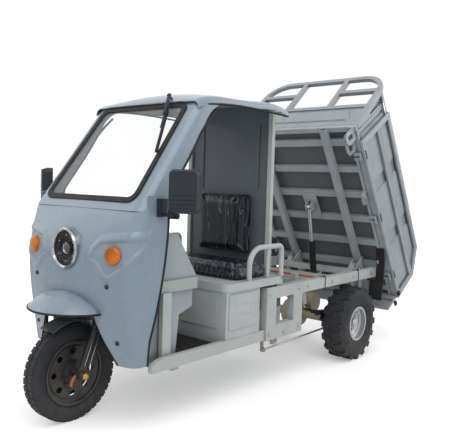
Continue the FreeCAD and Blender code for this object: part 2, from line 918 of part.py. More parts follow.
def front_brake_plate():
    start = front_centre + X_AXIS * (front_hub_half + running_gap)
    plate = Part.makeCylinder(brake_plate_radius, brake_plate_wall, start, X_AXIS)
    reach = brake_arm_length
    arm = box(start.x + brake_plate_wall, start.x + 2 * brake_plate_wall, -brake_arm_width / 2,
              brake_arm_width / 2, -reach, brake_arm_width / 2)
    arm.translate(V(0, front_centre.y - brake_plate_radius / 2, front_centre.z))
    hole = Part.makeCylinder(front_axle_radius + pin_gap, brake_plate_radius, start - X_AXIS * overrun,
                             X_AXIS)
    return plate.fuse(arm).cut(hole)


def rim_section(half, radius, wall, well, flange):
    """Return the (x, radius) outline of a drop-centre rim."""
    seat = radius - 2 * flange
    floor = seat - well
    well_half = half / 2
    slope = well / 2
    return [(-half, radius), (-half + flange, radius), (-half + flange, seat), (-well_half, seat),
            (-well_half + slope, floor), (well_half - slope, floor), (well_half, seat), (half - flange,
                                                                                         seat),
            (half - flange, radius), (half, radius), (half, seat - wall), (well_half + wall, seat - wall),
            (well_half - slope + wall, floor - wall), (-well_half + slope - wall, floor - wall),
            (-well_half - wall, seat - wall), (-half, seat - wall)]


def front_rim():
    half = front_rim_width / 2
    barrel = wheel_turn(rim_section(half, front_rim_radius, front_rim_wall, front_rim_well, front_rim_wall),
                        front_centre)
    disc_x = front_centre + X_AXIS * (front_disc_offset - front_disc_wall)
    inner_radius = front_rim_radius - 2 * front_rim_wall - front_rim_well - front_rim_wall / 2
    disc = Part.makeCylinder(inner_radius, front_disc_wall, disc_x, X_AXIS)
    for index in range(front_disc_holes):
        angle = 2 * math.pi * index / front_disc_holes
        place = disc_x + V(-overrun, front_hole_circle * math.cos(angle),
                           front_hole_circle * math.sin(angle))
        disc = disc.cut(Part.makeCylinder(front_hole_radius, front_disc_wall + 2 * overrun, place, X_AXIS))
    hub = Part.makeCylinder(front_hub_radius, 2 * front_hub_half, front_centre - X_AXIS * front_hub_half,
                            X_AXIS)
    drum_start = front_centre + X_AXIS * (front_hub_half - front_drum_depth)
    hub = hub.cut(Part.makeCylinder(brake_plate_radius - brake_plate_wall, front_drum_depth + overrun,
                                    drum_start, X_AXIS))
    boss = Part.makeCylinder(2 * front_axle_radius, 2 * front_hub_half,
                             front_centre - X_AXIS * front_hub_half, X_AXIS)
    bore = Part.makeCylinder(front_axle_radius + pin_gap, 2 * front_hub_half + 2 * overrun,
                             front_centre - X_AXIS * (front_hub_half + overrun), X_AXIS)
    return fused([barrel, disc, hub, boss]).cut(bore)


def front_tyre():
    crown = front_tyre_radius - front_block_depth
    half = front_tyre_width / 2
    tyre = wheel_turn(tyre_outline(half, crown, front_rim_width / 2, front_rim_radius, front_rim_wall),
                      front_centre)
    blocks = []
    for index in range(front_blocks):
        for side in (1, -1):
            turn = 360.0 * (index + (0.5 if side > 0 else 0)) / front_blocks
            inner_x = half * front_block_shares[0]
            outer_x = half * front_block_shares[1]
            block = box(inner_x, outer_x, -front_block_length / 2, front_block_length / 2,
                        crown - 2 * front_block_depth, front_roll_radius)
            if side < 0:
                block = mirrored(block)
            block.translate(front_centre)
            blocks.append(turned(block, turn, front_centre, X_AXIS))
    return tyre.multiFuse(blocks)


def tyre_outline(half, crown, rim_half, rim_radius, flange):
    """Return the (x, radius) outline of a tyre carcass seated between the rim flanges."""
    seat = rim_radius - 2 * flange + pin_gap
    bead = rim_half - flange - pin_gap
    depth = crown - rim_radius
    wall = half * carcass_wall_share
    right = [(bead, seat), (bead, rim_radius + flange / 2)]
    right += [(half * wide, rim_radius + depth * up) for wide, up in carcass_shares]
    inner = [(bead - wall, seat), (bead - wall, rim_radius + flange)]
    inner += [(half * wide - wall, rim_radius + depth * up) for wide, up in carcass_shares[:-1]]
    inner[-1] = (inner[-1][0], crown - wall)
    outside = right + [(-x, radius) for x, radius in reversed(right)]
    inside = inner + [(-x, radius) for x, radius in reversed(inner)]
    return outside + list(reversed(inside))


# Rear wheels
def rear_rim(side):
    centre = V(rear_centre_x, 0, rear_tyre_radius)
    half = rear_rim_width / 2
    barrel = wheel_turn(rim_section(half, rear_rim_radius, rear_rim_wall, rear_rim_well, rear_rim_wall),
                        centre)
    floor = rear_rim_radius - 2 * rear_rim_wall - rear_rim_well - rear_rim_wall / 2
    dish_x = half - rear_dish_depth
    dish = wheel_turn([(dish_x - rear_rim_wall, spindle_radius + pin_gap),
                       (dish_x, spindle_radius + pin_gap),
                       (dish_x, rear_dish_radius), (dish_x + rear_rim_well, floor), (dish_x, floor),
                       (dish_x - rear_rim_wall, rear_dish_radius)], centre)
    cap = Part.makeCylinder(rear_hub_radius, rear_hub_cap_depth, centre + X_AXIS * (dish_x - rear_rim_wall),
                            X_AXIS)
    spindle_tip = axle_plate_x - axle_plate_wall + spindle_length
    cap_bore = spindle_tip - rear_centre_x - dish_x + rear_rim_wall + running_gap
    cap = cap.cut(Part.makeCylinder(spindle_radius + pin_gap, cap_bore,
                                    centre + X_AXIS * (dish_x - rear_rim_wall), X_AXIS))
    drum_start = axle_plate_x + running_gap
    drum_run = rear_centre_x + dish_x - rear_rim_wall - drum_start
    drum = ring(axle_drum_radius, axle_drum_radius - rear_rim_wall, drum_start, drum_start + drum_run,
                centre)
    web = ring(axle_drum_radius, spindle_radius + pin_gap, drum_start + drum_run - rear_rim_wall,
               drum_start + drum_run, centre)
    parts = [barrel, dish, cap, drum, web]
    for index in range(rear_stud_count):
        angle = 2 * math.pi * index / rear_stud_count
        place = centre + V(dish_x - overrun / 2, rear_stud_circle * math.cos(angle),
                           rear_stud_circle * math.sin(angle))
        parts.append(Part.makeCylinder(rear_stud_radius, rear_stud_height, place, X_AXIS))
    rim = fused(parts)
    return rim if side > 0 else mirrored(rim)


def rear_tyre(side):
    centre = V(rear_centre_x, 0, rear_tyre_radius)
    half = rear_tyre_width / 2
    crown = rear_tyre_radius - rear_lug_depth
    tyre = wheel_turn(tyre_outline(half, crown, rear_rim_width / 2, rear_rim_radius, rear_rim_wall), centre)
    lugs = []
    shoulder = half * rear_shoulder_share
    limit = Part.makeCylinder(rear_tyre_radius, 2 * shoulder, centre - X_AXIS * shoulder, X_AXIS)
    for index in range(rear_lugs):
        for way in (1, -1):
            turn = 360.0 * (index + (0.5 if way > 0 else 0)) / rear_lugs
            lug = box(half - rear_lug_length, half + overrun, -rear_lug_width / 2, rear_lug_width / 2,
                      crown - 2 * rear_lug_depth, rear_tyre_radius + overrun)
            lug = turned(lug, rear_lug_slant, V(half, 0, crown), Z_AXIS)
            if way < 0:
                lug = mirrored(lug)
            lug.translate(centre)
            lugs.append(turned(lug, turn, centre, X_AXIS).common(limit))
    tyre = tyre.multiFuse(lugs)
    return tyre if side > 0 else mirrored(tyre)


# Rear axle, springs and dampers
def leaf(reach_front, reach_rear, radius_in, centre):
    """Return one curved spring leaf as a sector about a centre above the axle."""
    def at(radius, reach):
        angle = reach / radius_in
        return V(spring_x - spring_width / 2, centre.y + radius * math.sin(angle),
                 centre.z - radius * math.cos(angle))
    outer = radius_in + leaf_thickness
    edges = [Part.Arc(at(radius_in, -reach_front), at(radius_in, 0), at(radius_in, reach_rear)).toShape(),
             Part.LineSegment(at(radius_in, reach_rear), at(outer, reach_rear)).toShape(),
             Part.Arc(at(outer, reach_rear), at(outer, 0), at(outer, -reach_front)).toShape(),
             Part.LineSegment(at(outer, -reach_front), at(radius_in, -reach_front)).toShape()]
    return Part.Face(Part.Wire(edges)).extrude(V(spring_width, 0, 0))


spring_low = rear_tyre_radius + axle_tube_radius + clamp_plate / 2
spring_top = spring_low + spring_leaves * leaf_thickness
spring_radius = (spring_front ** 2 + spring_rise ** 2) / (2 * spring_rise)
spring_centre = V(0, 0, spring_top + spring_radius)


def spring_eye(reach):
    """Return the centre of the rolled eye at a distance along the main leaf."""
    angle = reach / spring_radius
    lift = spring_eye_radius - leaf_thickness / 2
    return V(spring_x, (spring_radius - lift) * math.sin(angle),
             spring_centre.z - (spring_radius - lift) * math.cos(angle))


def leaf_springs():
    leaves = []
    for index in range(spring_leaves):
        cut_back = leaf_shorten * index
        leaves.append(leaf(spring_front - cut_back, spring_rear - cut_back,
                           spring_radius + index * leaf_thickness, spring_centre))
    for reach in (-spring_front, spring_rear):
        eye = spring_eye(reach)
        start = eye - X_AXIS * (spring_width / 2)
        leaves.append(Part.makeCylinder(spring_eye_radius, spring_width, start, X_AXIS))
    stack = fused(leaves)
    for reach in (-spring_front, spring_rear):
        eye = spring_eye(reach)
        stack = stack.cut(Part.makeCylinder(pin_radius + pin_gap, 2 * spring_width,
                                            eye - X_AXIS * spring_width, X_AXIS))
    return both_sides(stack)


def spring_hangers():
    """Return the plates that hang each spring eye from the frame, on the left side."""
    plates = []
    for reach, cross_y in ((-spring_front, cross_places[0]), (spring_rear,
                                                              hinge_cross_rear - cross_width / 2)):
        eye = spring_eye(reach)
        for start in (spring_x - spring_width / 2 - running_gap - hanger_wall,
                      spring_x + spring_width / 2 + running_gap):
            plate = box(start, start + hanger_wall, cross_y - cross_width / 2, cross_y + cross_width / 2,
                        eye.z, rail_top - rail_depth + overrun)
            disc = Part.makeCylinder(spring_eye_radius, hanger_wall, V(start, eye.y, eye.z), X_AXIS)
            arm = side_profile([(eye.y - spring_eye_radius, eye.z), (eye.y + spring_eye_radius, eye.z),
                                (cross_y + cross_width / 2, rail_top - rail_depth),
                                (cross_y - cross_width / 2,
                                 rail_top - rail_depth)], start, start + hanger_wall)
            plates.append(disc.fuse(arm))
    return plates


def spring_bolts():
    """Return the eye bolts of the left spring."""
    half = spring_width / 2 + running_gap + hanger_wall + overrun
    return [Part.makeCylinder(pin_radius, 2 * half, spring_eye(reach) - X_AXIS * half, X_AXIS)
            for reach in (-spring_front, spring_rear)]


def spring_clamps():
    plate_low = spring_top + clamp_plate / 2
    span = axle_tube_radius + clamp_bolt_radius + running_gap
    reach_x = spring_width / 2 + clamp_bolt_radius + running_gap
    parts = [box(spring_x - reach_x - 2 * clamp_bolt_radius, spring_x + reach_x + 2 * clamp_bolt_radius,
         -span - 2 * clamp_bolt_radius, span + 2 * clamp_bolt_radius, plate_low, plate_low + clamp_plate)]
    for x in (spring_x - reach_x, spring_x + reach_x):
        low = rear_tyre_radius - span
        high = plate_low + 2 * clamp_plate
        path = [V(x, -span, high), V(x, -span, low), V(x, span, low), V(x, span, high)]
        parts.append(round_tube(path, clamp_bolt_radius, span - running_gap))
    left = [fused(parts)] + spring_bolts()
    return Part.makeCompound(left + [mirrored(part) for part in left])


def rear_axle():
    tube_half = axle_plate_x - axle_plate_wall
    centre = V(0, 0, rear_tyre_radius)
    parts = [Part.makeCylinder(axle_tube_radius, 2 * tube_half, centre - X_AXIS * tube_half, X_AXIS)]
    parts.append(Part.makeCylinder(gearbox_radius, gearbox_width, centre - X_AXIS * (gearbox_width / 2),
                                   X_AXIS))
    motor = centre + V(-gearbox_width / 2, gearbox_radius + motor_radius / 2, motor_radius)
    parts.append(Part.makeCylinder(motor_radius, motor_length, motor, X_AXIS))
    for index in range(motor_fins):
        fin_x = motor.x + motor_length * (index + 1) / (motor_fins + 1)
        parts.append(Part.makeCylinder(motor_radius + motor_fin_depth, motor_fin_wall,
                                       V(fin_x, motor.y, motor.z), X_AXIS))
    for side in (1, -1):
        face = centre + X_AXIS * side * tube_half
        parts.append(Part.makeCylinder(axle_drum_radius, axle_plate_wall, face, X_AXIS * side))
        parts.append(Part.makeCylinder(spindle_radius, spindle_length, face, X_AXIS * side))
        pad = box(-spring_width / 2, spring_width / 2, -clamp_plate * clamp_pad_share,
                  clamp_plate * clamp_pad_share, 0, spring_low - rear_tyre_radius)
        pad.translate(V(side * spring_x, 0, rear_tyre_radius))
        parts.append(pad)
        ear = box(-damper_radius, damper_radius, -axle_tube_radius - 2 * damper_radius, 0, -damper_radius,
                  damper_radius)
        ear.translate(V(side * damper_x, 0, rear_tyre_radius + damper_radius))
        parts.append(ear)
    return fused(parts)


def rear_dampers():
    top = V(damper_x, cross_places[0] - cross_width / 2 - damper_radius - damper_top_reach,
            rail_top - rail_depth - 2 * damper_radius)
    low = V(damper_x, -axle_tube_radius - 3 * damper_radius - running_gap, rear_tyre_radius + damper_radius)
    run = low - top
    middle = top + run * damper_split_share
    body = fused([rod(top, middle, damper_radius), rod(top, low, damper_rod_radius),
                  Part.makeCylinder(damper_radius, 2 * damper_radius, top - X_AXIS * damper_radius, X_AXIS),
                  Part.makeCylinder(damper_radius, 2 * damper_radius, low - X_AXIS * damper_radius,
                                    X_AXIS)])
    return both_sides(body)


# Brake linkage
def brake_shaft():
    start = V(-brake_shaft_half, brake_shaft_y, brake_shaft_z)
    parts = [Part.makeCylinder(brake_shaft_radius, 2 * brake_shaft_half, start, X_AXIS)]
    for side in (1, -1):
        near = side * brake_link_x
        arm = box(near - brake_arm_thick / 2, near + brake_arm_thick / 2,
                  brake_shaft_y - brake_shaft_radius,
        brake_shaft_y + brake_shaft_radius, brake_shaft_z - brake_arm_drop - brake_shaft_radius,
        brake_shaft_z)
        pin = Part.makeCylinder(brake_rod_radius, 2 * brake_arm_thick,
                                V(near, brake_shaft_y, brake_shaft_z - brake_arm_drop), X_AXIS * side)
        parts += [arm, pin]
    return fused(parts)


def brake_bearings():
    """Return the blocks under the cradle that carry the brake shaft."""
    blocks = []
    for side in (1, -1):
        middle = side * (rail_outer - rail_width / 2)
        block = box(middle - brake_arm_thick, middle + brake_arm_thick,
                    brake_shaft_y - 2 * brake_shaft_radius,
        brake_shaft_y + 2 * brake_shaft_radius, brake_shaft_z - 2 * brake_shaft_radius,
        cradle_bottom + overrun)
        blocks.append(block)
    return blocks


def brake_rods():
    x = brake_link_x + brake_arm_thick / 2 + brake_eye_half + running_gap
    z = brake_shaft_z - brake_arm_drop
    eye_radius = 2 * brake_rod_radius
    start = V(x, brake_shaft_y + brake_rod_radius + 2 * brake_eye_play, z)
    end = V(x, brake_rod_rear, z + brake_rod_lift)
    eye = ring(eye_radius + brake_eye_play, brake_rod_radius + brake_eye_play, x - brake_eye_half,
               x + brake_eye_half,
               V(0, brake_shaft_y, z))
    return both_sides(fused([rod(start, end, brake_rod_radius), eye]))


def brake_pedal():
    pivot = V(pedal_x, pedal_pivot_y, pedal_pivot_z)
    bush = Part.makeCylinder(pedal_bush, pedal_pad_width / 2, pivot - X_AXIS * (pedal_pad_width / 4),
                             X_AXIS)
    arm = box(-pedal_pad_thick / 2, pedal_pad_thick / 2, -pedal_pad_thick, pedal_pad_thick, 0, pedal_arm)
    pad = box(-pedal_pad_width / 2, pedal_pad_width / 2, 0, pedal_pad_thick,
              pedal_arm - pedal_pad_length / 2, pedal_arm + pedal_pad_length / 2)
    lever = turned(arm.fuse(pad), pedal_lean, V(0, 0, 0), X_AXIS)
    lever.translate(pivot)
    pedal = fused([bush, lever])
    return pedal.cut(Part.makeCylinder(pin_radius + pin_gap, pedal_pad_width,
                                       pivot - X_AXIS * (pedal_pad_width / 2), X_AXIS))


def pedal_bracket():
    """Return the floor bracket and pivot pin of the brake pedal."""
    pivot = V(pedal_x, pedal_pivot_y, pedal_pivot_z)
    parts = [Part.makeCylinder(pin_radius, pedal_pad_width, pivot - X_AXIS * (pedal_pad_width / 2), X_AXIS)]
    for side in (1, -1):
        near = pedal_x + side * (pedal_pad_width / 4 + running_gap + pedal_ear / 2)
        parts.append(box(near - pedal_ear / 2, near + pedal_ear / 2, pedal_pivot_y - pedal_bush,
                         pedal_pivot_y + pedal_bush,
                         floor_top - sheet, pedal_pivot_z + pedal_bush))
    return parts


# Battery and wiring
def battery_pack():
    low = floor_top - sheet + running_gap
    cells = []
    count = battery_count
    pitch = 2 * battery_half_width / count
    for index in range(count):
        x0 = -battery_half_width + pitch * index + battery_gap
        case = box(x0, x0 + pitch - 2 * battery_gap, battery_front, battery_rear, low, low + battery_height)
        lid = box(x0 + battery_corner, x0 + pitch - 2 * battery_gap - battery_corner,
                  battery_front + battery_corner,
               battery_rear - battery_corner, low + battery_height, low + battery_height + battery_corner)
        cells.append(case.fuse(lid))
    return Part.makeCompound(cells)


# Front fascia
def outline_wire(place, half, front, crown, corner, rear):
    """Return a closed outline of a filled U section; place maps (across, along) to a point."""
    flank = half - corner
    shoulder = front + crown + corner
    diagonal = corner * (1 - math.sqrt(0.5))
    points = [place(*pair) for pair in (
        (-half, rear), (-half, shoulder), (-half + diagonal, front + crown + diagonal), (-flank,
                                                                                         front + crown),
        (0, front), (flank, front + crown), (half - diagonal, front + crown + diagonal), (half,
                                                                                          shoulder), (half,
                                                                                                   rear))]
    return Part.Wire([Part.LineSegment(points[0], points[1]).toShape(), Part.Arc(*points[1:4]).toShape(),
                      Part.Arc(*points[3:6]).toShape(), Part.Arc(*points[5:8]).toShape(),
                      Part.LineSegment(points[7], points[8]).toShape(), Part.LineSegment(points[8],
                                                                                    points[0]).toShape()])


def fascia_sections(wire, *wall):
    """Return the fascia's section wires from bottom to top."""
    wires = []
    for level, half, front, crown, corner, rear in zip(fascia_levels, fascia_half_widths, fascia_fronts,
                                                       fascia_crowns, fascia_corners, fascia_rears):
        wires.append(wire(lambda across, along, z=level: V(across, along, z), half, front, crown, corner,
                          rear, *wall))
    return wires


def front_fascia():
    shell = Part.makeLoft(fascia_sections(u_wire, shell_wall), True, False)
    slope = (arch_half_bottom - arch_half_top) / (arch_top - fascia_bottom)
    low = fascia_bottom - 2 * arch_corner
    low_half = arch_half_bottom + slope * 2 * arch_corner
    reach = arch_depth
    corners = [V(-low_half, -front_roll_radius, low), V(low_half, -front_roll_radius, low),
               V(arch_half_top, -front_roll_radius, arch_top), V(-arch_half_top, -front_roll_radius,
                                                                 arch_top)]
    shell = shell.cut(rounded_prism(corners, arch_corner, V(0, reach, 0)))
    bowl = Part.makeCylinder(headlight_radius - headlight_ring_width, reach,
                             V(0, -front_roll_radius, headlight_z), Y_AXIS)
    return shell.cut(bowl)


def nose_visor():
    def dome(wall):
        matrix = FreeCAD.Matrix()
        matrix.scale(visor_half_width - wall, visor_reach - wall, visor_height - wall)
        shape = Part.makeSphere(visor_unit_share).transformGeometry(matrix)
        shape.translate(V(0, visor_centre_y, visor_base_z))
        return shape
    reach = visor_half_width + visor_reach
    upper = box(-reach, reach, visor_centre_y - reach, visor_centre_y, visor_base_z, visor_base_z + reach)
    shell = dome(0).cut(dome(visor_wall)).common(upper)
    panel = fascia_block.copy()
    panel.translate(V(0, -running_gap, 0))
    return shell.cut(panel)


fascia_block = Part.makeLoft(fascia_sections(outline_wire), True, False)


# Windscreen
screen_rise = V(0, screen_top_y - screen_bottom_y, screen_top_z - screen_bottom_z)
screen_height = screen_rise.Length
screen_up = screen_rise / screen_height
screen_out = screen_up.cross(X_AXIS) * -1
screen_slope = screen_rise.y / screen_rise.z


def screen_point(x, height, lift):
    """Return a point of the windscreen plane."""
    return V(x, screen_bottom_y, screen_bottom_z) + screen_up * height + screen_out * lift


def screen_prism(inset, low, high):
    """Return a slab with the windscreen's outline, drawn in by an inset."""
    corners = [screen_point(-screen_bottom_half + inset, inset, low),
               screen_point(screen_bottom_half - inset, inset, low),
               screen_point(screen_top_half - inset, screen_height - inset, low),
               screen_point(-screen_top_half + inset, screen_height - inset, low)]
    return rounded_prism(corners, screen_corner - inset * screen_corner_share, screen_out * (high - low))


def windscreen_glass():
    return screen_prism(gasket_width - glass_seat, -glass_thickness / 2, glass_thickness / 2)


def windscreen_gasket():
    outer = screen_prism(0, -gasket_depth / 2, gasket_depth / 2)
    inner = screen_prism(gasket_width, -gasket_depth, gasket_depth)
    return outer.cut(inner).cut(windscreen_glass())


def pillar_sections(wire, *wall):
    """Return the windscreen surround's section wires from bottom to top."""
    wires = []
    for level, half, rear in zip(pillar_levels, pillar_half_widths, pillar_rears):
        front = screen_bottom_y + (level - screen_bottom_z) * screen_slope - pillar_crown
        wires.append(wire(lambda across, along, z=level: V(across, along, z), half, front, pillar_crown,
                          pillar_corner, rear, *wall))
    return wires


def roof_shell():
    """Return the roof skin alone."""
    wires = []
    for station, half, edge, rise in zip(roof_stations, roof_half_widths, roof_edges, roof_crown_rises):
        wires.append(u_wire(lambda across, along, y=station: V(across, y, -along), half, -edge - rise, rise,
                            roof_corner, roof_skirt - edge, roof_wall))
    return Part.makeLoft(wires, True, False)


def below_roof(shape):
    """Return the part of a shape that lies under the roof skin."""
    return max(shape.cut(roof_shell()).Solids, key=lambda solid: solid.Volume)


pillar_block = Part.makeLoft(pillar_sections(outline_wire), True, False)


def cab_roof():
    pillars = Part.makeLoft(pillar_sections(u_wire, shell_wall), True, False)
    shell = pillars.fuse(roof_shell())
    shell = shell.cut(screen_prism(0, -screen_cut, screen_cut)).removeSplitter()
    return shell.cut(rod(wiper_pivot - screen_out * screen_cut, wiper_pivot + screen_out * screen_cut,
                         wiper_shaft_radius + pin_gap))


# Cab wall, posts, floor, sills
def cab_rear_wall():
    top = roof_edges[-1] + roof_crown_rises[-1] + roof_skirt
    rib_top = roof_edges[-1] - cab_rib_margin
    wall = box(-cab_wall_half + post_size, cab_wall_half - post_size, cab_rear_y, cab_rear_y + sheet,
               cab_wall_bottom, top)
    wall = below_roof(wall)
    span = 2 * (cab_wall_half - post_size) - 2 * cab_rib_margin
    ribs = []
    for index in range(cab_ribs):
        middle = -span / 2 + span * index / (cab_ribs - 1)
        ribs.append(box(middle - cab_rib_width / 2, middle + cab_rib_width / 2, cab_rear_y - cab_rib_depth,
                        cab_rear_y + sheet,
                        backrest_top + cab_rib_width, rib_top))
    hollow = [box(rib.BoundBox.XMin + sheet, rib.BoundBox.XMax - sheet, cab_rear_y - cab_rib_depth + sheet,
        cab_rear_y + sheet + overrun, rib.BoundBox.ZMin + sheet, rib.BoundBox.ZMax - sheet) for rib in ribs]
    return fused([wall] + ribs).cut(Part.makeCompound(hollow))


def cab_posts():
    top = roof_edges[-1] + roof_crown_rises[-1] + roof_skirt
    rear = below_roof(box(cab_wall_half - post_size, cab_wall_half, cab_rear_y - post_size / 2,
                          cab_rear_y + post_size / 2, seat_box_top, top))
    front = box(front_post_x - post_size / 2, front_post_x + post_size / 2, front_post_y - post_size,
                front_post_y + post_size,
                floor_top, console_shelf_bottom)
    return Part.makeCompound([rear, mirrored(rear), front, mirrored(front)])


def cab_floor():
    half = cab_half_width - sill_width
    middle = box(-half, half, floor_front, cab_rail_front - running_gap, floor_top - sheet, floor_top)
    wing = box(floor_wing_inner, half, floor_wing_front, floor_front, floor_top - sheet, floor_top)
    return fused([middle, wing, mirrored(wing)] + pedal_bracket())


def floor_mat():
    mat = box(-mat_half_width, mat_half_width, mat_front, mat_rear, floor_top, floor_top + mat_thickness)
    gap = pedal_pad_width / 2
    return mat.cut(box(pedal_x - gap, pedal_x + gap, pedal_pivot_y - gap, pedal_pivot_y + gap, 0,
                       seat_box_top))


def side_sills():
    top = sill_bottom + sill_height
    rear = cab_rail_front - running_gap
    start = V(cab_half_width - sill_width, sill_front, sill_bottom)
    edges = [Part.LineSegment(start, V(start.x, rear, sill_bottom)).toShape(),
             Part.LineSegment(V(start.x, rear, sill_bottom), V(start.x, rear, top)).toShape(),
             Part.LineSegment(V(start.x, rear, top), V(start.x, sill_front + sill_sweep_run,
                                                       top)).toShape(),
             Part.Arc(V(start.x, sill_front + sill_sweep_run, top),
                      V(start.x, sill_front + sill_sweep_run / 2, top - sill_sweep_sag / 2),
                      V(start.x, sill_front, top - 2 * sill_sweep_sag)).toShape(),
             Part.LineSegment(V(start.x, sill_front, top - 2 * sill_sweep_sag), start).toShape()]
    return both_sides(Part.Face(Part.Wire(edges)).extrude(V(sill_width, 0, 0)))


# Seat
def seat_box():
    low = sill_bottom + sill_height
    under = seat_box_top - seat_ledge_depth
    side_x = cab_half_width - seat_box_wall
    side = box(side_x - seat_box_wall, side_x, seat_front, seat_side_rear, low, under)
    for level in louvre_levels:
        hood = side_profile([(louvre_front, level), (louvre_front + louvre_length, level),
                             (louvre_front + louvre_length, level + louvre_height), (louvre_front,
                                                                                  level + louvre_height)],
                            side_x - seat_box_wall - overrun, side_x + overrun)
        side = side.cut(hood)
        blade = Part.makeLoft([Part.makePolygon([V(side_x - seat_box_wall, louvre_front, level),
                                                 V(side_x, louvre_front, level),
                                                 V(side_x, louvre_front + louvre_length, level),
                                                 V(side_x - seat_box_wall, louvre_front + louvre_length,
                                                   level),
                                                 V(side_x - seat_box_wall, louvre_front, level)]),
                               Part.makePolygon([V(side_x - seat_box_wall - louvre_depth, louvre_front,
                                                   level + louvre_height),
                                                 V(side_x - louvre_depth, louvre_front,
                                                   level + louvre_height),
                                                 V(side_x - louvre_depth, louvre_front + louvre_length,
                                                   level + louvre_height),
                                                 V(side_x - seat_box_wall - louvre_depth,
                                                   louvre_front + louvre_length, level + louvre_height),
                                                 V(side_x - seat_box_wall - louvre_depth, louvre_front,
                                                   level + louvre_height)])],
                              True, True)
        side = side.fuse(blade)
    front = box(-side_x, side_x, seat_front, seat_front + seat_box_wall, floor_top, under)
    front = front.cut(box(cab_half_width - sill_width, cab_half_width, seat_front - overrun,
                          seat_front + overrun, 0, low))
    front = front.cut(box(-cab_half_width, -cab_half_width + sill_width, seat_front - overrun,
                          seat_front + overrun, 0, low))
    half = cab_half_width + seat_ledge_out
    corners = [V(-half, seat_front - seat_ledge_out, under), V(half, seat_front - seat_ledge_out, under),
               V(half, seat_ledge_rear, under), V(-half, seat_ledge_rear, under)]
    ledge = rounded_prism(corners, seat_ledge_round, V(0, 0, seat_ledge_depth))
    hatch = box(-seat_hatch_half, seat_hatch_half, seat_hatch_front, seat_hatch_rear, 0,
                seat_box_top + overrun)
    inner = box(-half + seat_ledge_rim, half - seat_ledge_rim, seat_front + seat_ledge_rim,
                seat_ledge_rear - seat_ledge_rim,
                under - overrun, seat_box_top - seat_box_wall)
    ledge = ledge.cut(inner).cut(hatch)
    foot = box(half - seat_foot_width, half - seat_ledge_rim / 2, seat_ledge_rear - seat_foot_length,
               seat_ledge_rear, rail_top, under + seat_ledge_depth / 2)
    hasp = box(-hasp_width / 2, hasp_width / 2, seat_front - hasp_depth, seat_front, under - hasp_height,
               under)
    bar = Part.makeCylinder(seat_hinge_radius, seat_hinge_length,
                            V(seat_hinge_x, seat_hinge_y, seat_hinge_z), X_AXIS)
    block = box(seat_hinge_x, seat_hinge_x + seat_hinge_length, seat_hinge_y - seat_hinge_radius / 2,
                seat_hinge_y + seat_hinge_radius / 2, seat_box_top - seat_box_wall, seat_hinge_z)
    pivot = bar.fuse(block)
    return fused([side, mirrored(side), front, ledge, hasp, foot, mirrored(foot), pivot, mirrored(pivot)])


def pad(half, y0, y1, z0, z1, corner, draw, upright):
    """Return an upholstered pad: drawn-in edges and a crowned face, lofted through five outlines."""
    wires = []
    for level, inset in pad_level_shares:
        cut_in = draw * inset
        if upright:
            depth = y1 + (y0 - y1) * level
            corners = [V(-half + cut_in, depth, z0 + cut_in), V(half - cut_in, depth, z0 + cut_in),
                       V(half - cut_in, depth, z1 - cut_in), V(-half + cut_in, depth, z1 - cut_in)]
        else:
            height = z0 + (z1 - z0) * level
            corners = [V(-half + cut_in, y0 + cut_in, height), V(half - cut_in, y0 + cut_in, height),
                       V(half - cut_in, y1 - cut_in, height), V(-half + cut_in, y1 - cut_in, height)]
        wires.append(rounded_outline(corners, corner - cut_in / 2))
    return Part.makeLoft(wires, True, False)


def seat_cushion():
    low = seat_box_top + running_gap
    return pad(cushion_half_width, cushion_front, cushion_rear, low, low + cushion_height, cushion_corner,
               cushion_draw, False)


def seat_backrest():
    rear = cab_rear_y - running_gap
    return pad(backrest_half_width, rear - backrest_thickness, rear, backrest_bottom, backrest_top,
               backrest_corner, cushion_draw, True)


def armrest_rails():
    low = seat_box_top
    middle = V(armrest_x, (armrest_front + armrest_rear) / 2, armrest_top)
    front = round_tube([V(armrest_x, armrest_front, low), V(armrest_x, armrest_front, armrest_top), middle],
                       armrest_radius, armrest_bend)
    rear = round_tube([middle, V(armrest_x, armrest_rear, armrest_top), V(armrest_x, armrest_rear, low)],
                      armrest_radius, armrest_small_bend)
    bar = rod(V(armrest_x, armrest_bar_y, low), V(armrest_x, armrest_bar_y, armrest_top),
              armrest_radius * armrest_bar_share)
    return both_sides(front.multiFuse([rear, bar]))


# Console
def front_console():
    upper = [(console_front, console_shelf_top), (console_rear_mid, console_shelf_top),
             (console_rear_mid, console_shelf_top + console_lip),
             (console_rear_top, console_top), (console_front, console_top)]
    column = [(console_front, floor_top), (console_foot_rear, floor_top),
              (console_knee_rear, console_knee_z - console_knee_drop),
              (console_column_rear, console_knee_z), (console_column_rear,
                                                      console_shelf_bottom), (console_front,
                                                                              console_shelf_bottom)]
    shelf = [(console_front, console_shelf_bottom), (console_rear_mid, console_shelf_bottom),
             (console_rear_mid, console_shelf_top),
             (console_front, console_shelf_top)]
    body = fused([side_profile(upper, -console_half_width, console_half_width),
                  side_profile(column, -console_column_half, console_column_half),
                  side_profile(shelf, -console_half_width - console_lip, console_half_width + console_lip)])
    wall = console_wall
    room = [(console_front - overrun, floor_top - overrun), (console_foot_rear - wall, floor_top - overrun),
            (console_knee_rear - wall,
             console_knee_z - console_knee_drop + wall), (console_column_rear - wall,
                                                          console_knee_z + wall),
            (console_rear_mid - wall, console_shelf_top + console_lip), (console_rear_top - wall,
                                                                         console_top - wall),
            (console_front - overrun, console_top - wall)]
    body = body.cut(side_profile(room, -console_column_half + wall, console_column_half - wall))
    slot = box(-console_slot_half, console_slot_half, console_front - overrun, console_slot_rear,
               console_top - console_slot_depth, console_top + wall)
    return body.cut(slot)


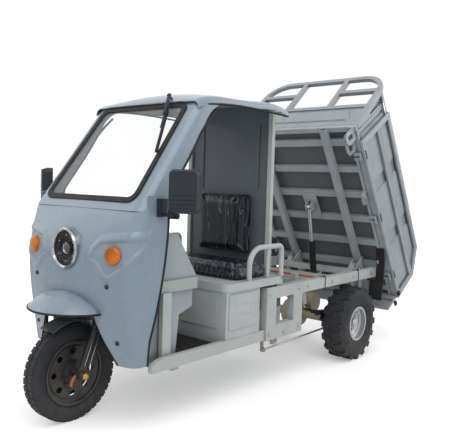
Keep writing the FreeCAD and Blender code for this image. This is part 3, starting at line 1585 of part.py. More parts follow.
# Lamps
def fascia_front(level):
    """Return the fascia's front face on the middle line at a height."""
    for low, high, front_low, front_high in zip(fascia_levels, fascia_levels[1:], fascia_fronts,
                                                fascia_fronts[1:]):
        if low <= level <= high:
            return front_low + (front_high - front_low) * (level - low) / (high - low)
    return fascia_fronts[-1]


headlight_back = fascia_front(headlight_z) + shell_wall
headlight_front = fascia_front(headlight_z) - headlight_stand


def headlight_ring():
    inner = headlight_radius - headlight_ring_width
    profile = [V(inner, headlight_front + headlight_ring_width / 2, 0),
               V(inner + headlight_ring_width / 2, headlight_front, 0),
               V(headlight_radius, headlight_front + headlight_ring_width / 2, 0), V(headlight_radius,
                                                                headlight_back + headlight_ring_width, 0),
               V(inner, headlight_back + headlight_ring_width, 0)]
    shape = polygon(profile).revolve(V(0, 0, 0), Y_AXIS, 360)
    shape.translate(V(0, 0, headlight_z))
    return shape.cut(fascia_block)


def headlight_lens():
    radius = headlight_radius - headlight_ring_width - pin_gap
    start = V(0, headlight_front + headlight_ring_width / 2, headlight_z)
    return Part.makeCylinder(radius, headlight_lens_thickness, start, Y_AXIS)


def headlight_bowl():
    radius = headlight_radius - headlight_ring_width - pin_gap
    start = V(0, headlight_front + headlight_ring_width / 2 + headlight_lens_thickness, headlight_z)
    cup = Part.makeCylinder(radius, headlight_depth, start, Y_AXIS)
    cup = cup.cut(Part.makeCone(radius - headlight_lens_thickness, projector_radius,
                                headlight_depth - headlight_lens_thickness, start, Y_AXIS))
    projector = Part.makeCylinder(projector_radius, projector_depth,
                                  start + Y_AXIS * (headlight_depth - projector_depth), Y_AXIS)
    return cup.fuse(projector)


def indicator_lenses():
    profile = [V(0, 0, 0), V(indicator_radius, 0, 0), V(indicator_radius, -indicator_depth / 2, 0),
               V(indicator_radius * indicator_dome_share, -indicator_depth, 0), V(0,
                                                              -indicator_depth * indicator_rise_share, 0)]
    dome = polygon(profile).revolve(V(0, 0, 0), Y_AXIS, 360)
    stem = Part.makeCylinder(indicator_radius, indicator_depth, V(0, 0, 0), Y_AXIS)
    lamp = dome.fuse(stem)
    lamp.rotate(V(0, 0, 0), Z_AXIS, indicator_turn)
    lamp.translate(V(indicator_x, indicator_y, indicator_z))
    return both_sides(lamp.cut(fascia_block))


# Mirrors and wiper
def mirror_brackets():
    y = mirror_pivot_y
    base = box(mirror_foot_x, cab_half_width + mirror_bracket_wall, y - mirror_bracket_depth / 2,
               y + mirror_bracket_depth / 2,
               mirror_bracket_z - mirror_bracket_height / 2, mirror_bracket_z + mirror_bracket_height / 2)
    arm = rod(V(cab_half_width, y, mirror_arm_z), V(mirror_pivot_x, y, mirror_arm_z), mirror_arm_radius)
    stalk = rod(V(mirror_pivot_x, y, mirror_arm_z - mirror_arm_radius),
                V(mirror_pivot_x, y, mirror_arm_z + mirror_stalk_height),
                mirror_arm_radius)
    return both_sides(fused([base, arm, stalk]).cut(fascia_block).cut(pillar_block))


def mirror(side):
    low = mirror_arm_z + mirror_arm_radius + running_gap
    half_depth = mirror_depth / 2
    reach = mirror_socket + mirror_wall
    corners = [V(-reach, 0, 0), V(mirror_width, 0, 0), V(mirror_width, 0, mirror_height),
               V(-reach, 0, mirror_height)]
    back = rounded_prism(corners, mirror_corner, V(0, half_depth, 0))
    inset = mirror_wall * 2
    nose = [V(-reach + inset, -half_depth, inset), V(mirror_width - inset, -half_depth, inset),
            V(mirror_width - inset, -half_depth, mirror_height - inset), V(-reach + inset, -half_depth,
                                                                           mirror_height - inset)]
    shell = back.fuse(Part.makeLoft([rounded_outline(corners, mirror_corner),
                                     rounded_outline(nose, mirror_corner - inset)], True, True))
    cup = [V(-reach + inset, half_depth - mirror_wall, inset),
           V(mirror_width - inset, half_depth - mirror_wall, inset),
           V(mirror_width - inset, half_depth - mirror_wall, mirror_height - inset), V(-reach + inset,
                                                         half_depth - mirror_wall, mirror_height - inset)]
    shell = shell.cut(rounded_prism(cup, mirror_corner - inset, V(0, half_depth, 0)))
    for index in range(mirror_ribs):
        level = mirror_height * mirror_rib_share * (index + 1) / (mirror_ribs + 1)
        shell = shell.cut(box(0, mirror_width, -half_depth - overrun, -half_depth + mirror_wall / 2, level,
                              level + mirror_wall))
    socket = Part.makeCylinder(mirror_arm_radius + pin_gap,
                               mirror_stalk_height - mirror_arm_radius + overrun, V(0, 0, -overrun), Z_AXIS)
    shell = shell.cut(socket)
    shell.rotate(V(0, 0, 0), Z_AXIS, mirror_yaw)
    shell.translate(V(mirror_pivot_x, mirror_pivot_y, low))
    return shell if side > 0 else mirrored(shell)


wiper_pivot = screen_point(wiper_x, screen_height + wiper_above, 0)


def wiper_arm():
    shaft = rod(wiper_pivot + screen_out * wiper_shaft_depth,
                wiper_pivot + screen_out * (wiper_lift + wiper_arm_thick), wiper_shaft_radius)
    turn = math.radians(wiper_rest)
    down = screen_up * -math.cos(turn) + X_AXIS * math.sin(turn)
    start = wiper_pivot + screen_out * (wiper_lift + wiper_arm_thick / 2)
    arm = rod(start, start + down * wiper_arm_length, wiper_arm_thick / 2)
    tip = start + down * wiper_arm_length
    blade_start = tip - down * (wiper_blade_length / 2)
    drop = screen_out * -wiper_blade_drop
    blade = rod(blade_start + drop, blade_start + drop + down * wiper_blade_length, wiper_blade_width / 2)
    link = rod(tip - down * wiper_arm_thick, tip - down * wiper_arm_thick + drop, wiper_arm_thick / 3)
    return shaft.multiFuse([arm, link, blade])


# Bed, drawn lowered
bed_inner_half = bed_half_width - side_thickness - side_gap
bed_floor_top = bed_floor_z + bed_cross_height + sheet
bed_sill_top = bed_floor_top + bed_floor_step
side_axis_x = bed_half_width - side_hinge_radius
side_axis_z = bed_floor_z - side_hinge_radius
tailgate_axis_y = bed_rear + side_hinge_radius + running_gap
tailgate_axis_z = bed_floor_top + side_gap / 2
ram_eye = V(0, ram_eye_y, bed_floor_z - ram_eye_drop)
gusset_top = bed_floor_z + side_height
latch_y = bed_front + headboard_thickness + side_gap + latch_inset
latch_z = gusset_top - latch_drop


def knuckle(middle, axis, radius, start, length):
    """Return one hinge knuckle along an axis, from a start distance past a middle point."""
    return Part.makeCylinder(radius, length, middle + axis * start, axis)


def side_hinge_places():
    """Return the middle points of the left side's hinges."""
    return [V(side_axis_x, bed_front + bed_length * share, side_axis_z) for share in side_hinge_shares]


def tailgate_hinge_places():
    """Return the middle points of the tailgate's hinges."""
    return [V(bed_inner_half * share, tailgate_axis_y, tailgate_axis_z) for share in tailgate_hinge_shares]


def hinge_holders(middle, axis, arm):
    """Return the fixed outer knuckles of a hinge with its pin and arms; arm maps (start, end) to a block."""
    third = side_hinge_length / 3
    first = -side_hinge_length / 2
    parts = [knuckle(middle, axis, side_hinge_pin, first, side_hinge_length)]
    for start in (first, third / 2):
        parts.append(knuckle(middle, axis, side_hinge_radius, start, third))
        parts.append(arm(start, start + third))
    return parts


def bed_frame():
    tube = bed_tube_wall
    low = bed_floor_z - stringer_depth
    parts = []
    bores = []
    for side in (1, -1):
        x0 = side * stringer_x - stringer_width / 2
        x1 = side * stringer_x + stringer_width / 2
        parts.append(box(x0, x1, bed_front, bed_rear - skirt_wall, low, bed_floor_z))
        parts.append(Part.makeCylinder(hinge_lug_radius, stringer_width, V(x0, hinge_y, hinge_z), X_AXIS))
        bores.append(box(x0 + tube, x1 - tube, bed_front - overrun, ram_eye.y, low + tube,
                         bed_floor_z - tube))
    for middle in bed_cross_places():
        y0 = middle - bed_cross_width / 2
        y1 = middle + bed_cross_width / 2
        parts.append(box(-bed_inner_half, bed_inner_half, y0, y1, bed_floor_z, bed_floor_top))
        bores.append(box(-bed_half_width, bed_half_width, y0 + tube, y1 - tube, bed_floor_z + tube,
                         bed_floor_top - tube))
    edge = box(bed_inner_half - bed_edge, bed_inner_half, bed_front, bed_rear - skirt_wall, bed_floor_z,
               bed_floor_top)
    parts += [edge, mirrored(edge)]
    parts.append(box(-bed_inner_half, bed_inner_half, bed_front, bed_rear, bed_floor_top - sheet,
                     bed_floor_top))
    parts.append(box(-bed_half_width, bed_half_width, bed_front, bed_front + headboard_thickness,
                     bed_floor_z, bed_sill_top))
    skirt_low = bed_floor_z - skirt_depth
    parts.append(box(-bed_half_width, bed_half_width, bed_rear - skirt_wall, bed_rear, skirt_low,
                     bed_floor_z))
    parts.append(box(-bed_inner_half, bed_inner_half, bed_rear - skirt_wall, bed_rear, bed_floor_z,
                     bed_floor_top))
    bores.append(box(-bed_half_width + sheet, bed_half_width - sheet, bed_rear - skirt_wall - overrun,
                     bed_rear - sheet,
                     skirt_low + sheet, bed_floor_z - stringer_depth))
    plate_y = bed_cross_places()[2]
    parts.append(box(-ram_plate_half, ram_plate_half, plate_y, bed_cross_places()[3],
                     bed_floor_z - ram_cheek, bed_floor_z + tube))
    left = []
    for middle in side_hinge_places():
        left += hinge_holders(middle, Y_AXIS, lambda start, end, place=middle: box(
            bed_inner_half - bed_edge, side_axis_x, place.y + start, place.y + end,
            side_axis_z - side_hinge_radius / 2, bed_floor_z))
    left.append(lock_plate())
    left.append(stub_bracket())
    parts += left + [mirrored(piece) for piece in left]
    for middle in tailgate_hinge_places():
        parts += hinge_holders(middle, X_AXIS, lambda start, end, place=middle: box(
        place.x + start, place.x + end, bed_rear, tailgate_axis_y,
        tailgate_axis_z - tailgate_strap, tailgate_axis_z))
    frame = fused(parts).cut(Part.makeCompound(bores))
    frame = frame.fuse(ram_mounts()).removeSplitter()
    rebate = box(-bed_inner_half, bed_inner_half, bed_rear - tailgate_thickness - side_gap, bed_rear,
                 bed_floor_top - bed_floor_step, bed_floor_top + bed_floor_step)
    frame = frame.cut(rebate)
    return frame.cut(Part.makeCylinder(pin_radius + pin_gap, 2 * bed_half_width,
                                       V(-bed_half_width, hinge_y, hinge_z), X_AXIS))


def bed_cross_places():
    """Return the places of the bed's cross-members along the vehicle."""
    pitch = bed_length / bed_cross_count
    return [bed_front + pitch * (index + bed_cross_share) for index in range(bed_cross_count)]


def ram_mounts():
    """Return the two cheeks that stand either side of the ram's upper eye."""
    start = ram_eye_width / 2 + ram_cheek_gap
    cheek = side_profile([(ram_eye.y - 2 * ram_eye_radius, bed_floor_z),
                          (ram_eye.y - ram_eye_radius, ram_eye.z - ram_eye_radius),
                          (ram_eye.y + ram_eye_radius,
                           ram_eye.z - ram_eye_radius), (ram_eye.y + 2 * ram_eye_radius, bed_floor_z)],
                         start, start + ram_cheek)
    return cheek.fuse(mirrored(cheek))


def lock_plate():
    """Return the six-sided lock plate with its window under the bed's front corner."""
    x0 = bed_half_width - bed_edge
    high = bed_floor_z + bed_tube_wall
    low = bed_floor_z - lock_plate_drop
    chamfer = lock_plate_width * lock_window_share
    y0 = bed_front
    y1 = bed_front + lock_plate_width
    plate = side_profile([(y0, high), (y0, low + chamfer), (y0 + chamfer, low), (y1 - chamfer, low),
                          (y1, low + chamfer), (y1, high)],
                         x0, x0 + lock_plate_wall)
    window = box(x0 - overrun, x0 + lock_plate_wall + overrun, y0 + chamfer, y1 - chamfer,
                 low + chamfer, high - lock_plate_drop * lock_window_share)
    bridge = box(bed_inner_half - bed_edge, x0 + lock_plate_wall, y0, y1, bed_floor_z - lock_plate_wall,
                 bed_floor_z)
    return plate.cut(window).fuse(bridge)


def stub_bracket():
    """Return the short bracket below the bed's side edge."""
    middle = bed_front + bed_length * stub_share
    x1 = bed_inner_half
    return side_profile([(middle - stub_width / 2, bed_floor_z), (middle + stub_width / 2, bed_floor_z),
                         (middle + stub_width / 4, bed_floor_z - stub_drop), (middle - stub_width / 4,
                                                                              bed_floor_z - stub_drop)],
                        x1 - bed_edge, x1)


def pressed_panel(outline, place, depth, reach):
    """Return a raised pressing and the pocket behind it; place maps (along, up, lift) to a point."""
    def shape(inset, low, high, corner):
        lower = grown(outline, -inset)
        upper = grown(outline, -inset - side_panel_taper)
        wires = [rounded_outline([place(along, up, low) for along, up in lower], corner),
                 rounded_outline([place(along, up, high) for along, up in upper], corner)]
        return Part.makeLoft(wires, True, True)
    raised_face = shape(0, -side_skin, depth, side_panel_corner)
    pocket = shape(side_skin, -reach, depth - side_skin, side_panel_corner)
    return raised_face, pocket


def grown(outline, step):
    """Return a convex outline of (along, up) pairs moved outwards by a step."""
    result = []
    count = len(outline)
    for index, (along, up) in enumerate(outline):
        last = outline[index - 1]
        following = outline[(index + 1) % count]
        first_run = V(along - last[0], up - last[1], 0).normalize()
        second_run = V(following[0] - along, following[1] - up, 0).normalize()
        first_out = V(first_run.y, -first_run.x, 0)
        second_out = V(second_run.y, -second_run.x, 0)
        shift = (first_out + second_out) * (step / (1 + first_out.dot(second_out)))
        result.append((along + shift.x, up + shift.y))
    return result


def bed_side(side):
    x0 = bed_half_width - side_thickness
    face = bed_half_width - side_panel_depth
    y0 = bed_front + headboard_thickness + side_gap
    z0 = bed_floor_z + side_gap
    z1 = bed_floor_z + side_height
    outline = [(y0, z0), (bed_rear, z0), (bed_rear, z1 - side_end_drop), (bed_rear - side_end_run, z1),
               (y0, z1)]
    panel = side_profile(outline, x0, bed_half_width)
    rim = side_profile(grown(outline, -side_panel_margin / 2), face, bed_half_width + overrun)
    panel = panel.cut(rim)
    pitch = (bed_rear - y0) / side_panels
    for index in range(side_panels):
        low = y0 + pitch * index
        high = low + pitch
        bay = [(low, z0), (high, z0), (high, z1), (low, z1)]
        if index == side_panels - 1:
            bay = [(low, z0), (bed_rear, z0), (bed_rear, z1 - side_end_drop), (bed_rear - side_end_run, z1),
                   (low, z1)]
        raised_face, pocket = pressed_panel(grown(bay, -side_panel_margin),
                                            lambda along, up, lift: V(face + lift, along,
                                                                      up), side_panel_depth, side_thickness)
        panel = panel.fuse(raised_face).cut(pocket)
    third = side_hinge_length / 3
    for middle in side_hinge_places():
        length = third - 2 * running_gap
        strap = box(side_axis_x - side_hinge_radius / 2, side_axis_x + side_hinge_radius / 2,
                    middle.y - length / 2, middle.y + length / 2,
                    side_axis_z, z0 + side_gap)
        barrel = knuckle(middle, Y_AXIS, side_hinge_radius, -length / 2, length)
        hole = knuckle(middle, Y_AXIS, side_hinge_pin + pin_gap, -third, 2 * third)
        panel = panel.fuse(fused([strap, barrel]).cut(hole))
    pin_hole = Part.makeCylinder(latch_radius + pin_gap, side_thickness + 2 * overrun,
                                 V(x0 - overrun, latch_y, latch_z), X_AXIS)
    boss = Part.makeCylinder(latch_width, side_thickness, V(x0, latch_y, latch_z), X_AXIS)
    panel = panel.fuse(boss).cut(pin_hole).removeSplitter()
    return panel if side > 0 else mirrored(panel)


def tailgate():
    z0 = bed_floor_top + side_gap
    z1 = bed_floor_z + side_height - side_end_drop
    y0 = bed_rear - tailgate_thickness
    face = bed_rear - side_panel_depth
    half = bed_inner_half - running_gap
    panel = box(-half, half, y0, bed_rear, z0, z1)
    edge = side_panel_margin / 2
    panel = panel.cut(box(-half + edge, half - edge, face, bed_rear + overrun, z0 + edge, z1 - edge))
    for low, high in ((-half, 0), (0, half)):
        bay = [(low, z0), (high, z0), (high, z1), (low, z1)]
        raised_face, pocket = pressed_panel(grown(bay, -side_panel_margin),
                                            lambda along, up, lift: V(along, face + lift,
                                                                up), side_panel_depth, tailgate_thickness)
        panel = panel.fuse(raised_face).cut(pocket)
    third = side_hinge_length / 3
    for middle in tailgate_hinge_places():
        length = third - 2 * running_gap
        strap = box(middle.x - length / 2, middle.x + length / 2, bed_rear - side_panel_depth,
                    tailgate_axis_y, middle.z, middle.z + tailgate_strap)
        barrel = knuckle(middle, X_AXIS, side_hinge_radius, -length / 2, length)
        hole = knuckle(middle, X_AXIS, side_hinge_pin + pin_gap, -third, 2 * third)
        panel = panel.fuse(fused([strap.cut(box(middle.x - third, middle.x + third,
                                                bed_rear - side_panel_depth - overrun, bed_rear,
                                                middle.z - overrun, z0)), barrel]).cut(hole))
    return panel.removeSplitter()


def bed_headboard():
    base = bed_sill_top
    top = bed_floor_z + headboard_height
    hoop_top = bed_floor_z + headboard_height + rack_height - rack_tube / 2
    leg = bed_half_width - rack_tube / 2
    middle = bed_front + rack_tube_depth / 2
    path = rounded_path([V(-leg, middle, base), V(-leg, middle, hoop_top), V(leg, middle, hoop_top),
                         V(leg, middle, base)], rack_corner)
    section = Part.makePolygon([V(-leg - rack_tube / 2, bed_front, base),
                                V(-leg + rack_tube / 2, bed_front, base),
                                V(-leg + rack_tube / 2, bed_front + rack_tube_depth, base),
                                V(-leg - rack_tube / 2, bed_front + rack_tube_depth,
                                  base), V(-leg - rack_tube / 2, bed_front, base)])
    hoop = path.makePipeShell([section], True, False)
    half = leg - rack_tube / 2
    back = bed_front + rack_tube_depth
    skin = bed_front + press_depth
    wall = box(-half, half, skin, skin + headboard_skin, base, top)
    rail = box(-half, half, bed_front, back, top - rack_tube, top)
    foot = box(-half, half, bed_front, back, base, base + rack_tube)
    press = Part.makeLoft([rounded_outline([V(-half + press_inset - inset, y, base + 2 * rack_tube - inset),
                                            V(half - press_inset + inset, y, base + 2 * rack_tube - inset),
                                            V(half - 2 * press_inset + inset, y,
                                              top - 2 * rack_tube + inset),
                                            V(-half + 2 * press_inset - inset, y,
                                              top - 2 * rack_tube + inset)], press_inset / 2)
                           for y, inset in ((skin + headboard_skin / 2, press_depth),
                                            (bed_front, 0))], True, True)
    parts = [hoop, wall, rail, foot, press]
    bar_z = top + (hoop_top - top) * rack_bar_share
    for side in (1, -1):
        near = side * rack_upright_x
        parts.append(box(near - rack_tube / 2, near + rack_tube / 2, bed_front, back, top, hoop_top))
        outer = sorted((side * rack_upright_x, side * half))
        parts.append(box(outer[0], outer[1], bed_front, back, bar_z - rack_tube / 2, bar_z + rack_tube / 2))
    board = turned(fused(parts), headboard_lean, V(0, bed_front, base), X_AXIS)
    lean = math.radians(headboard_lean)
    rear = bed_front + headboard_thickness
    height = gusset_top - base
    outline = [(bed_front + rack_tube_depth / 2, base + rack_tube_depth / 4),
               (rear, base + rack_tube_depth / 4), (rear, gusset_top),
               (bed_front + rack_tube_depth / 2 - height * math.tan(lean), gusset_top)]
    gusset = side_profile(outline, half, bed_half_width)
    edge = bed_front + rack_tube_depth + gusset_rim
    hollow_low = base + height * gusset_pocket_share
    hollow_high = gusset_top - 2 * gusset_rim
    hollow = [(edge - (hollow_low - base) * math.tan(lean), hollow_low), (rear - gusset_rim, hollow_low),
              (rear - gusset_rim, hollow_high), (edge - (hollow_high - base) * math.tan(lean), hollow_high)]
    gusset = gusset.cut(side_profile(hollow, bed_half_width - gusset_pocket, bed_half_width + overrun))
    stub = Part.makeCylinder(latch_radius, rack_tube + latch_thick, V(half, latch_y - latch_arm, latch_z),
                             X_AXIS)
    left = gusset.fuse(stub)
    return fused([board, left, mirrored(left)])


def latch(side):
    x0 = bed_half_width + running_gap
    x1 = x0 + latch_thick
    half = latch_width / 2
    tip_y = latch_y - latch_arm
    arm = box(x0, x1, tip_y - half, latch_y, latch_z - half, latch_z + half)
    head = Part.makeCylinder(half, latch_thick, V(x0, latch_y, latch_z), X_AXIS)
    pin = Part.makeCylinder(latch_radius, side_thickness + latch_thick,
                            V(bed_half_width - side_thickness, latch_y, latch_z), X_AXIS)
    notch = box(x0 - overrun, x1 + overrun, tip_y - latch_radius - running_gap,
                tip_y + latch_radius + running_gap,
                latch_z - latch_width, latch_z + latch_radius + running_gap)
    handle = box(x0, x1, latch_y, latch_y + latch_arm, latch_z - half / 2, latch_z + half / 2)
    lever = fused([arm.cut(notch), head, pin, handle])
    return lever if side > 0 else mirrored(lever)


def tail_lamps():
    outer = bed_half_width - tail_lamp_margin
    middle = bed_floor_z - skirt_depth / 2
    corners = [V(outer - tail_lamp_width, bed_rear, middle - tail_lamp_height / 2),
               V(outer, bed_rear, middle - tail_lamp_height / 2),
               V(outer, bed_rear, middle + tail_lamp_height / 2), V(outer - tail_lamp_width, bed_rear,
                                                                    middle + tail_lamp_height / 2)]
    return both_sides(rounded_prism(corners, tail_lamp_depth / 2, V(0, tail_lamp_depth, 0)))


def rear_mudguards():
    outer = list(bed_mudguard_path)
    inner = [(y, z - bed_mudguard_wall) for y, z in reversed(bed_mudguard_path)]
    return both_sides(side_profile(outer + inner, bed_mudguard_inner, bed_half_width))


# Tipping ram, drawn in the raised pose
ram_top = raised(ram_eye)
ram_run = (ram_top - ram_base).normalize()


def ram_barrel():
    eye = Part.makeCylinder(ram_eye_radius, ram_eye_width, ram_base - X_AXIS * (ram_eye_width / 2), X_AXIS)
    neck = rod(ram_base, ram_base + ram_run * (ram_neck + ram_bottom), ram_rod_radius)
    tube = rod(ram_base + ram_run * ram_neck, ram_base + ram_run * ram_barrel_length, ram_barrel_radius)
    bore = rod(ram_base + ram_run * (ram_neck + ram_bottom),
               ram_base + ram_run * (ram_barrel_length + overrun), ram_rod_radius + pin_gap)
    hole = Part.makeCylinder(pin_radius + pin_gap, 2 * ram_eye_width, ram_base - X_AXIS * ram_eye_width,
                             X_AXIS)
    return fused([eye, neck, tube]).cut(bore).cut(hole)


def ram_rod():
    eye = Part.makeCylinder(ram_eye_radius, ram_eye_width, ram_top - X_AXIS * (ram_eye_width / 2), X_AXIS)
    bar = rod(ram_base + ram_run * (ram_barrel_length - ram_rod_overlap), ram_top, ram_rod_radius)
    return eye.fuse(bar)


def wiring_loom():
    level = rail_top - rail_depth + cross_depth + loom_radius
    turn_x = rail_outer - rail_width - loom_inset
    return round_tube([V(loom_start_x, cross_places[1], level), V(turn_x, cross_places[1], level),
                       V(turn_x, loom_rear, level)],
                      loom_radius, loom_bend)


def behind_axle(shape):
    """Return a piece of the cab, drawn from the front axle line, at its place on the frame."""
    placed = shape.copy()
    placed.translate(V(0, -wheelbase, 0))
    return placed


def tipped(shape):
    """Return a piece of the lowered bed in the raised pose."""
    return turned(shape, -tip_angle, hinge, X_AXIS)


frame_makers = (
    ("chassis_frame", chassis_frame), ("hinge_pins", hinge_pins), ("front_frame", front_frame),
    ("steering_fork", steering_fork), ("handlebar", handlebar), ("fork_sliders", fork_sliders),
    ("front_axle", front_axle), ("front_brake_plate", front_brake_plate), ("front_rim", front_rim),
    ("front_tyre", front_tyre), ("leaf_springs", leaf_springs), ("spring_clamps", spring_clamps),
    ("rear_axle", rear_axle), ("rear_dampers", rear_dampers), ("brake_shaft", brake_shaft),
    ("brake_rods", brake_rods), ("battery_pack", battery_pack), ("front_mudguard", front_mudguard),
    ("wiring_loom", wiring_loom), ("ram_barrel", ram_barrel), ("ram_rod", ram_rod),
)
cab_makers = (
    ("brake_pedal", brake_pedal), ("front_fascia", front_fascia), ("nose_visor", nose_visor),
    ("windshield_glass", windscreen_glass), ("windshield_gasket", windscreen_gasket),
    ("cab_roof", cab_roof), ("cab_rear_wall", cab_rear_wall), ("cab_posts", cab_posts),
    ("cab_floor", cab_floor), ("floor_mat", floor_mat), ("side_sills", side_sills),
    ("seat_box", seat_box), ("seat_cushion", seat_cushion), ("seat_backrest", seat_backrest),
    ("armrest_rails", armrest_rails), ("front_console", front_console),
    ("headlight_ring", headlight_ring), ("headlight_lens", headlight_lens),
    ("headlight_bowl", headlight_bowl), ("indicator_lenses", indicator_lenses),
    ("mirror_brackets", mirror_brackets), ("wiper_arm", wiper_arm),
)
for name, maker in frame_makers:
    add(name, maker())
for name, maker in cab_makers:
    add(name, behind_axle(maker()))
for name, maker in (("bed_frame", bed_frame), ("bed_headboard", bed_headboard), ("tailgate", tailgate),
                    ("tail_lamps", tail_lamps), ("rear_mudguards", rear_mudguards)):
    add(name, tipped(maker()))
for label, side in (("left", 1), ("right", -1)):
    add("rear_rim_" + label, rear_rim(side))
    add("rear_tyre_" + label, rear_tyre(side))
    add("mirror_" + label, behind_axle(mirror(side)))
    add("bed_side_" + label, tipped(bed_side(side)))
    add("latch_" + label, tipped(latch(side)))
add("left_grip", grip(1))
add("throttle_grip", grip(-1))

os.makedirs("parts", exist_ok=True)
for name, shape in pieces.items():
    placed = shape.copy()
    placed.translate(V(0, frame_shift, 0))
    placed.exportStep(os.path.join("parts", name + ".step"))
    print(name, placed.isValid(), len(placed.Solids), round(placed.Volume / 1000))
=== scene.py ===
"""Looks of the cargo tricycle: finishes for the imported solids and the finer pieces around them."""
import json
import logging
import math
from contextlib import contextmanager
from dataclasses import dataclass, field
from enum import Enum
from functools import cached_property
from typing import Callable, Iterator, Sequence

import bmesh
import bpy
from mathutils import Matrix, Vector, geometry, noise

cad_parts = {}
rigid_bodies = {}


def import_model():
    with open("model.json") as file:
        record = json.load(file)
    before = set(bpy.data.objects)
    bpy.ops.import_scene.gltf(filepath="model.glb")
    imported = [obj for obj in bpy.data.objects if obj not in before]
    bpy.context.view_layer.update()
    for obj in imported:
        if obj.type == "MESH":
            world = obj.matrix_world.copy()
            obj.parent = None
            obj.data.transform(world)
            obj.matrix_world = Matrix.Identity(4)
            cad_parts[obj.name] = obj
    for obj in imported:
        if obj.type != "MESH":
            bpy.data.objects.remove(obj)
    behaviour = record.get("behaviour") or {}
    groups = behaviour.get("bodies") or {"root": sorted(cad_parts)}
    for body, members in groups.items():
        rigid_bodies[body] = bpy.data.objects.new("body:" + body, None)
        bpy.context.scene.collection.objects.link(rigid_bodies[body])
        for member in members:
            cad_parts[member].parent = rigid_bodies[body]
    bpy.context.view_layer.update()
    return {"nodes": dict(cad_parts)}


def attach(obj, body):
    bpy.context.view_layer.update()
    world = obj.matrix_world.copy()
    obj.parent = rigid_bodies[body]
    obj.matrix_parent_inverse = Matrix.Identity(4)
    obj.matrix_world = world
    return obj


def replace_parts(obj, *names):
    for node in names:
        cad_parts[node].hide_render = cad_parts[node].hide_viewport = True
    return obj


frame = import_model()
LOG = logging.getLogger("tricycle")

Point = tuple[float, float, float]
Spot = tuple[float, float]
Piece = bpy.types.Object
Socket = bpy.types.NodeSocket
Test = Callable[[Vector, Vector], bool]
SHIFT_Y = 679.43
HINGE_Y, HINGE_Z = 449.0, 682.0
TIP = math.radians(58.5)
BED_FRONT, BED_BASE = -715.0, 690.0
TUBE_ANGLE = 60.0
COAT_ROUGHNESS, RESIN_IOR = 0.12, 1.46
PLAIN_SPECULAR, CLEAR_SPECULAR = 0.35, 0.5
# Reach of the painted corner shade (ambient occlusion), in metres.
CORNER_REACH = 0.06
DUST_COLOUR: Point = (0.46, 0.42, 0.36)
# Colour of the painted highlight streaks along the seat wrap's folds.
FILM_HIGHLIGHT_COLOUR: Point = (0.75, 0.78, 0.82)


def at(x: float, y: float, z: float) -> Vector:
    """Place a point of the drawing, in millimetres from the rear axle line, in the frame in metres.

    Args:
        x: distance to the vehicle's left.
        y: distance behind the rear axle.
        z: height above the ground.

    Returns:
        The point in the shared frame.
    """
    return Vector((x, y + SHIFT_Y, z)) / 1000


def on_bed(x: float, along: float, up: float) -> Vector:
    """Place a point of the bed, measured from its front lower edge, in the raised pose.

    Args:
        x: distance to the vehicle's left.
        along: distance behind the bed's front.
        up: height above the bed's underside.

    Returns:
        The point in the shared frame.
    """
    dy = BED_FRONT + along - HINGE_Y
    dz = BED_BASE + up - HINGE_Z
    y = HINGE_Y + dy * math.cos(TIP) + dz * math.sin(TIP)
    z = HINGE_Z - dy * math.sin(TIP) + dz * math.cos(TIP)
    return at(x, y, z)


def clamp(share: float) -> float:
    """Keep a share between 0 and 1."""
    return min(max(share, 0.0), 1.0)


def facing(axis: int, sign: int, least: float = 0.9) -> Test:
    """Return a test for the faces that look along an axis."""
    return lambda middle, normal: normal[axis] * sign > least


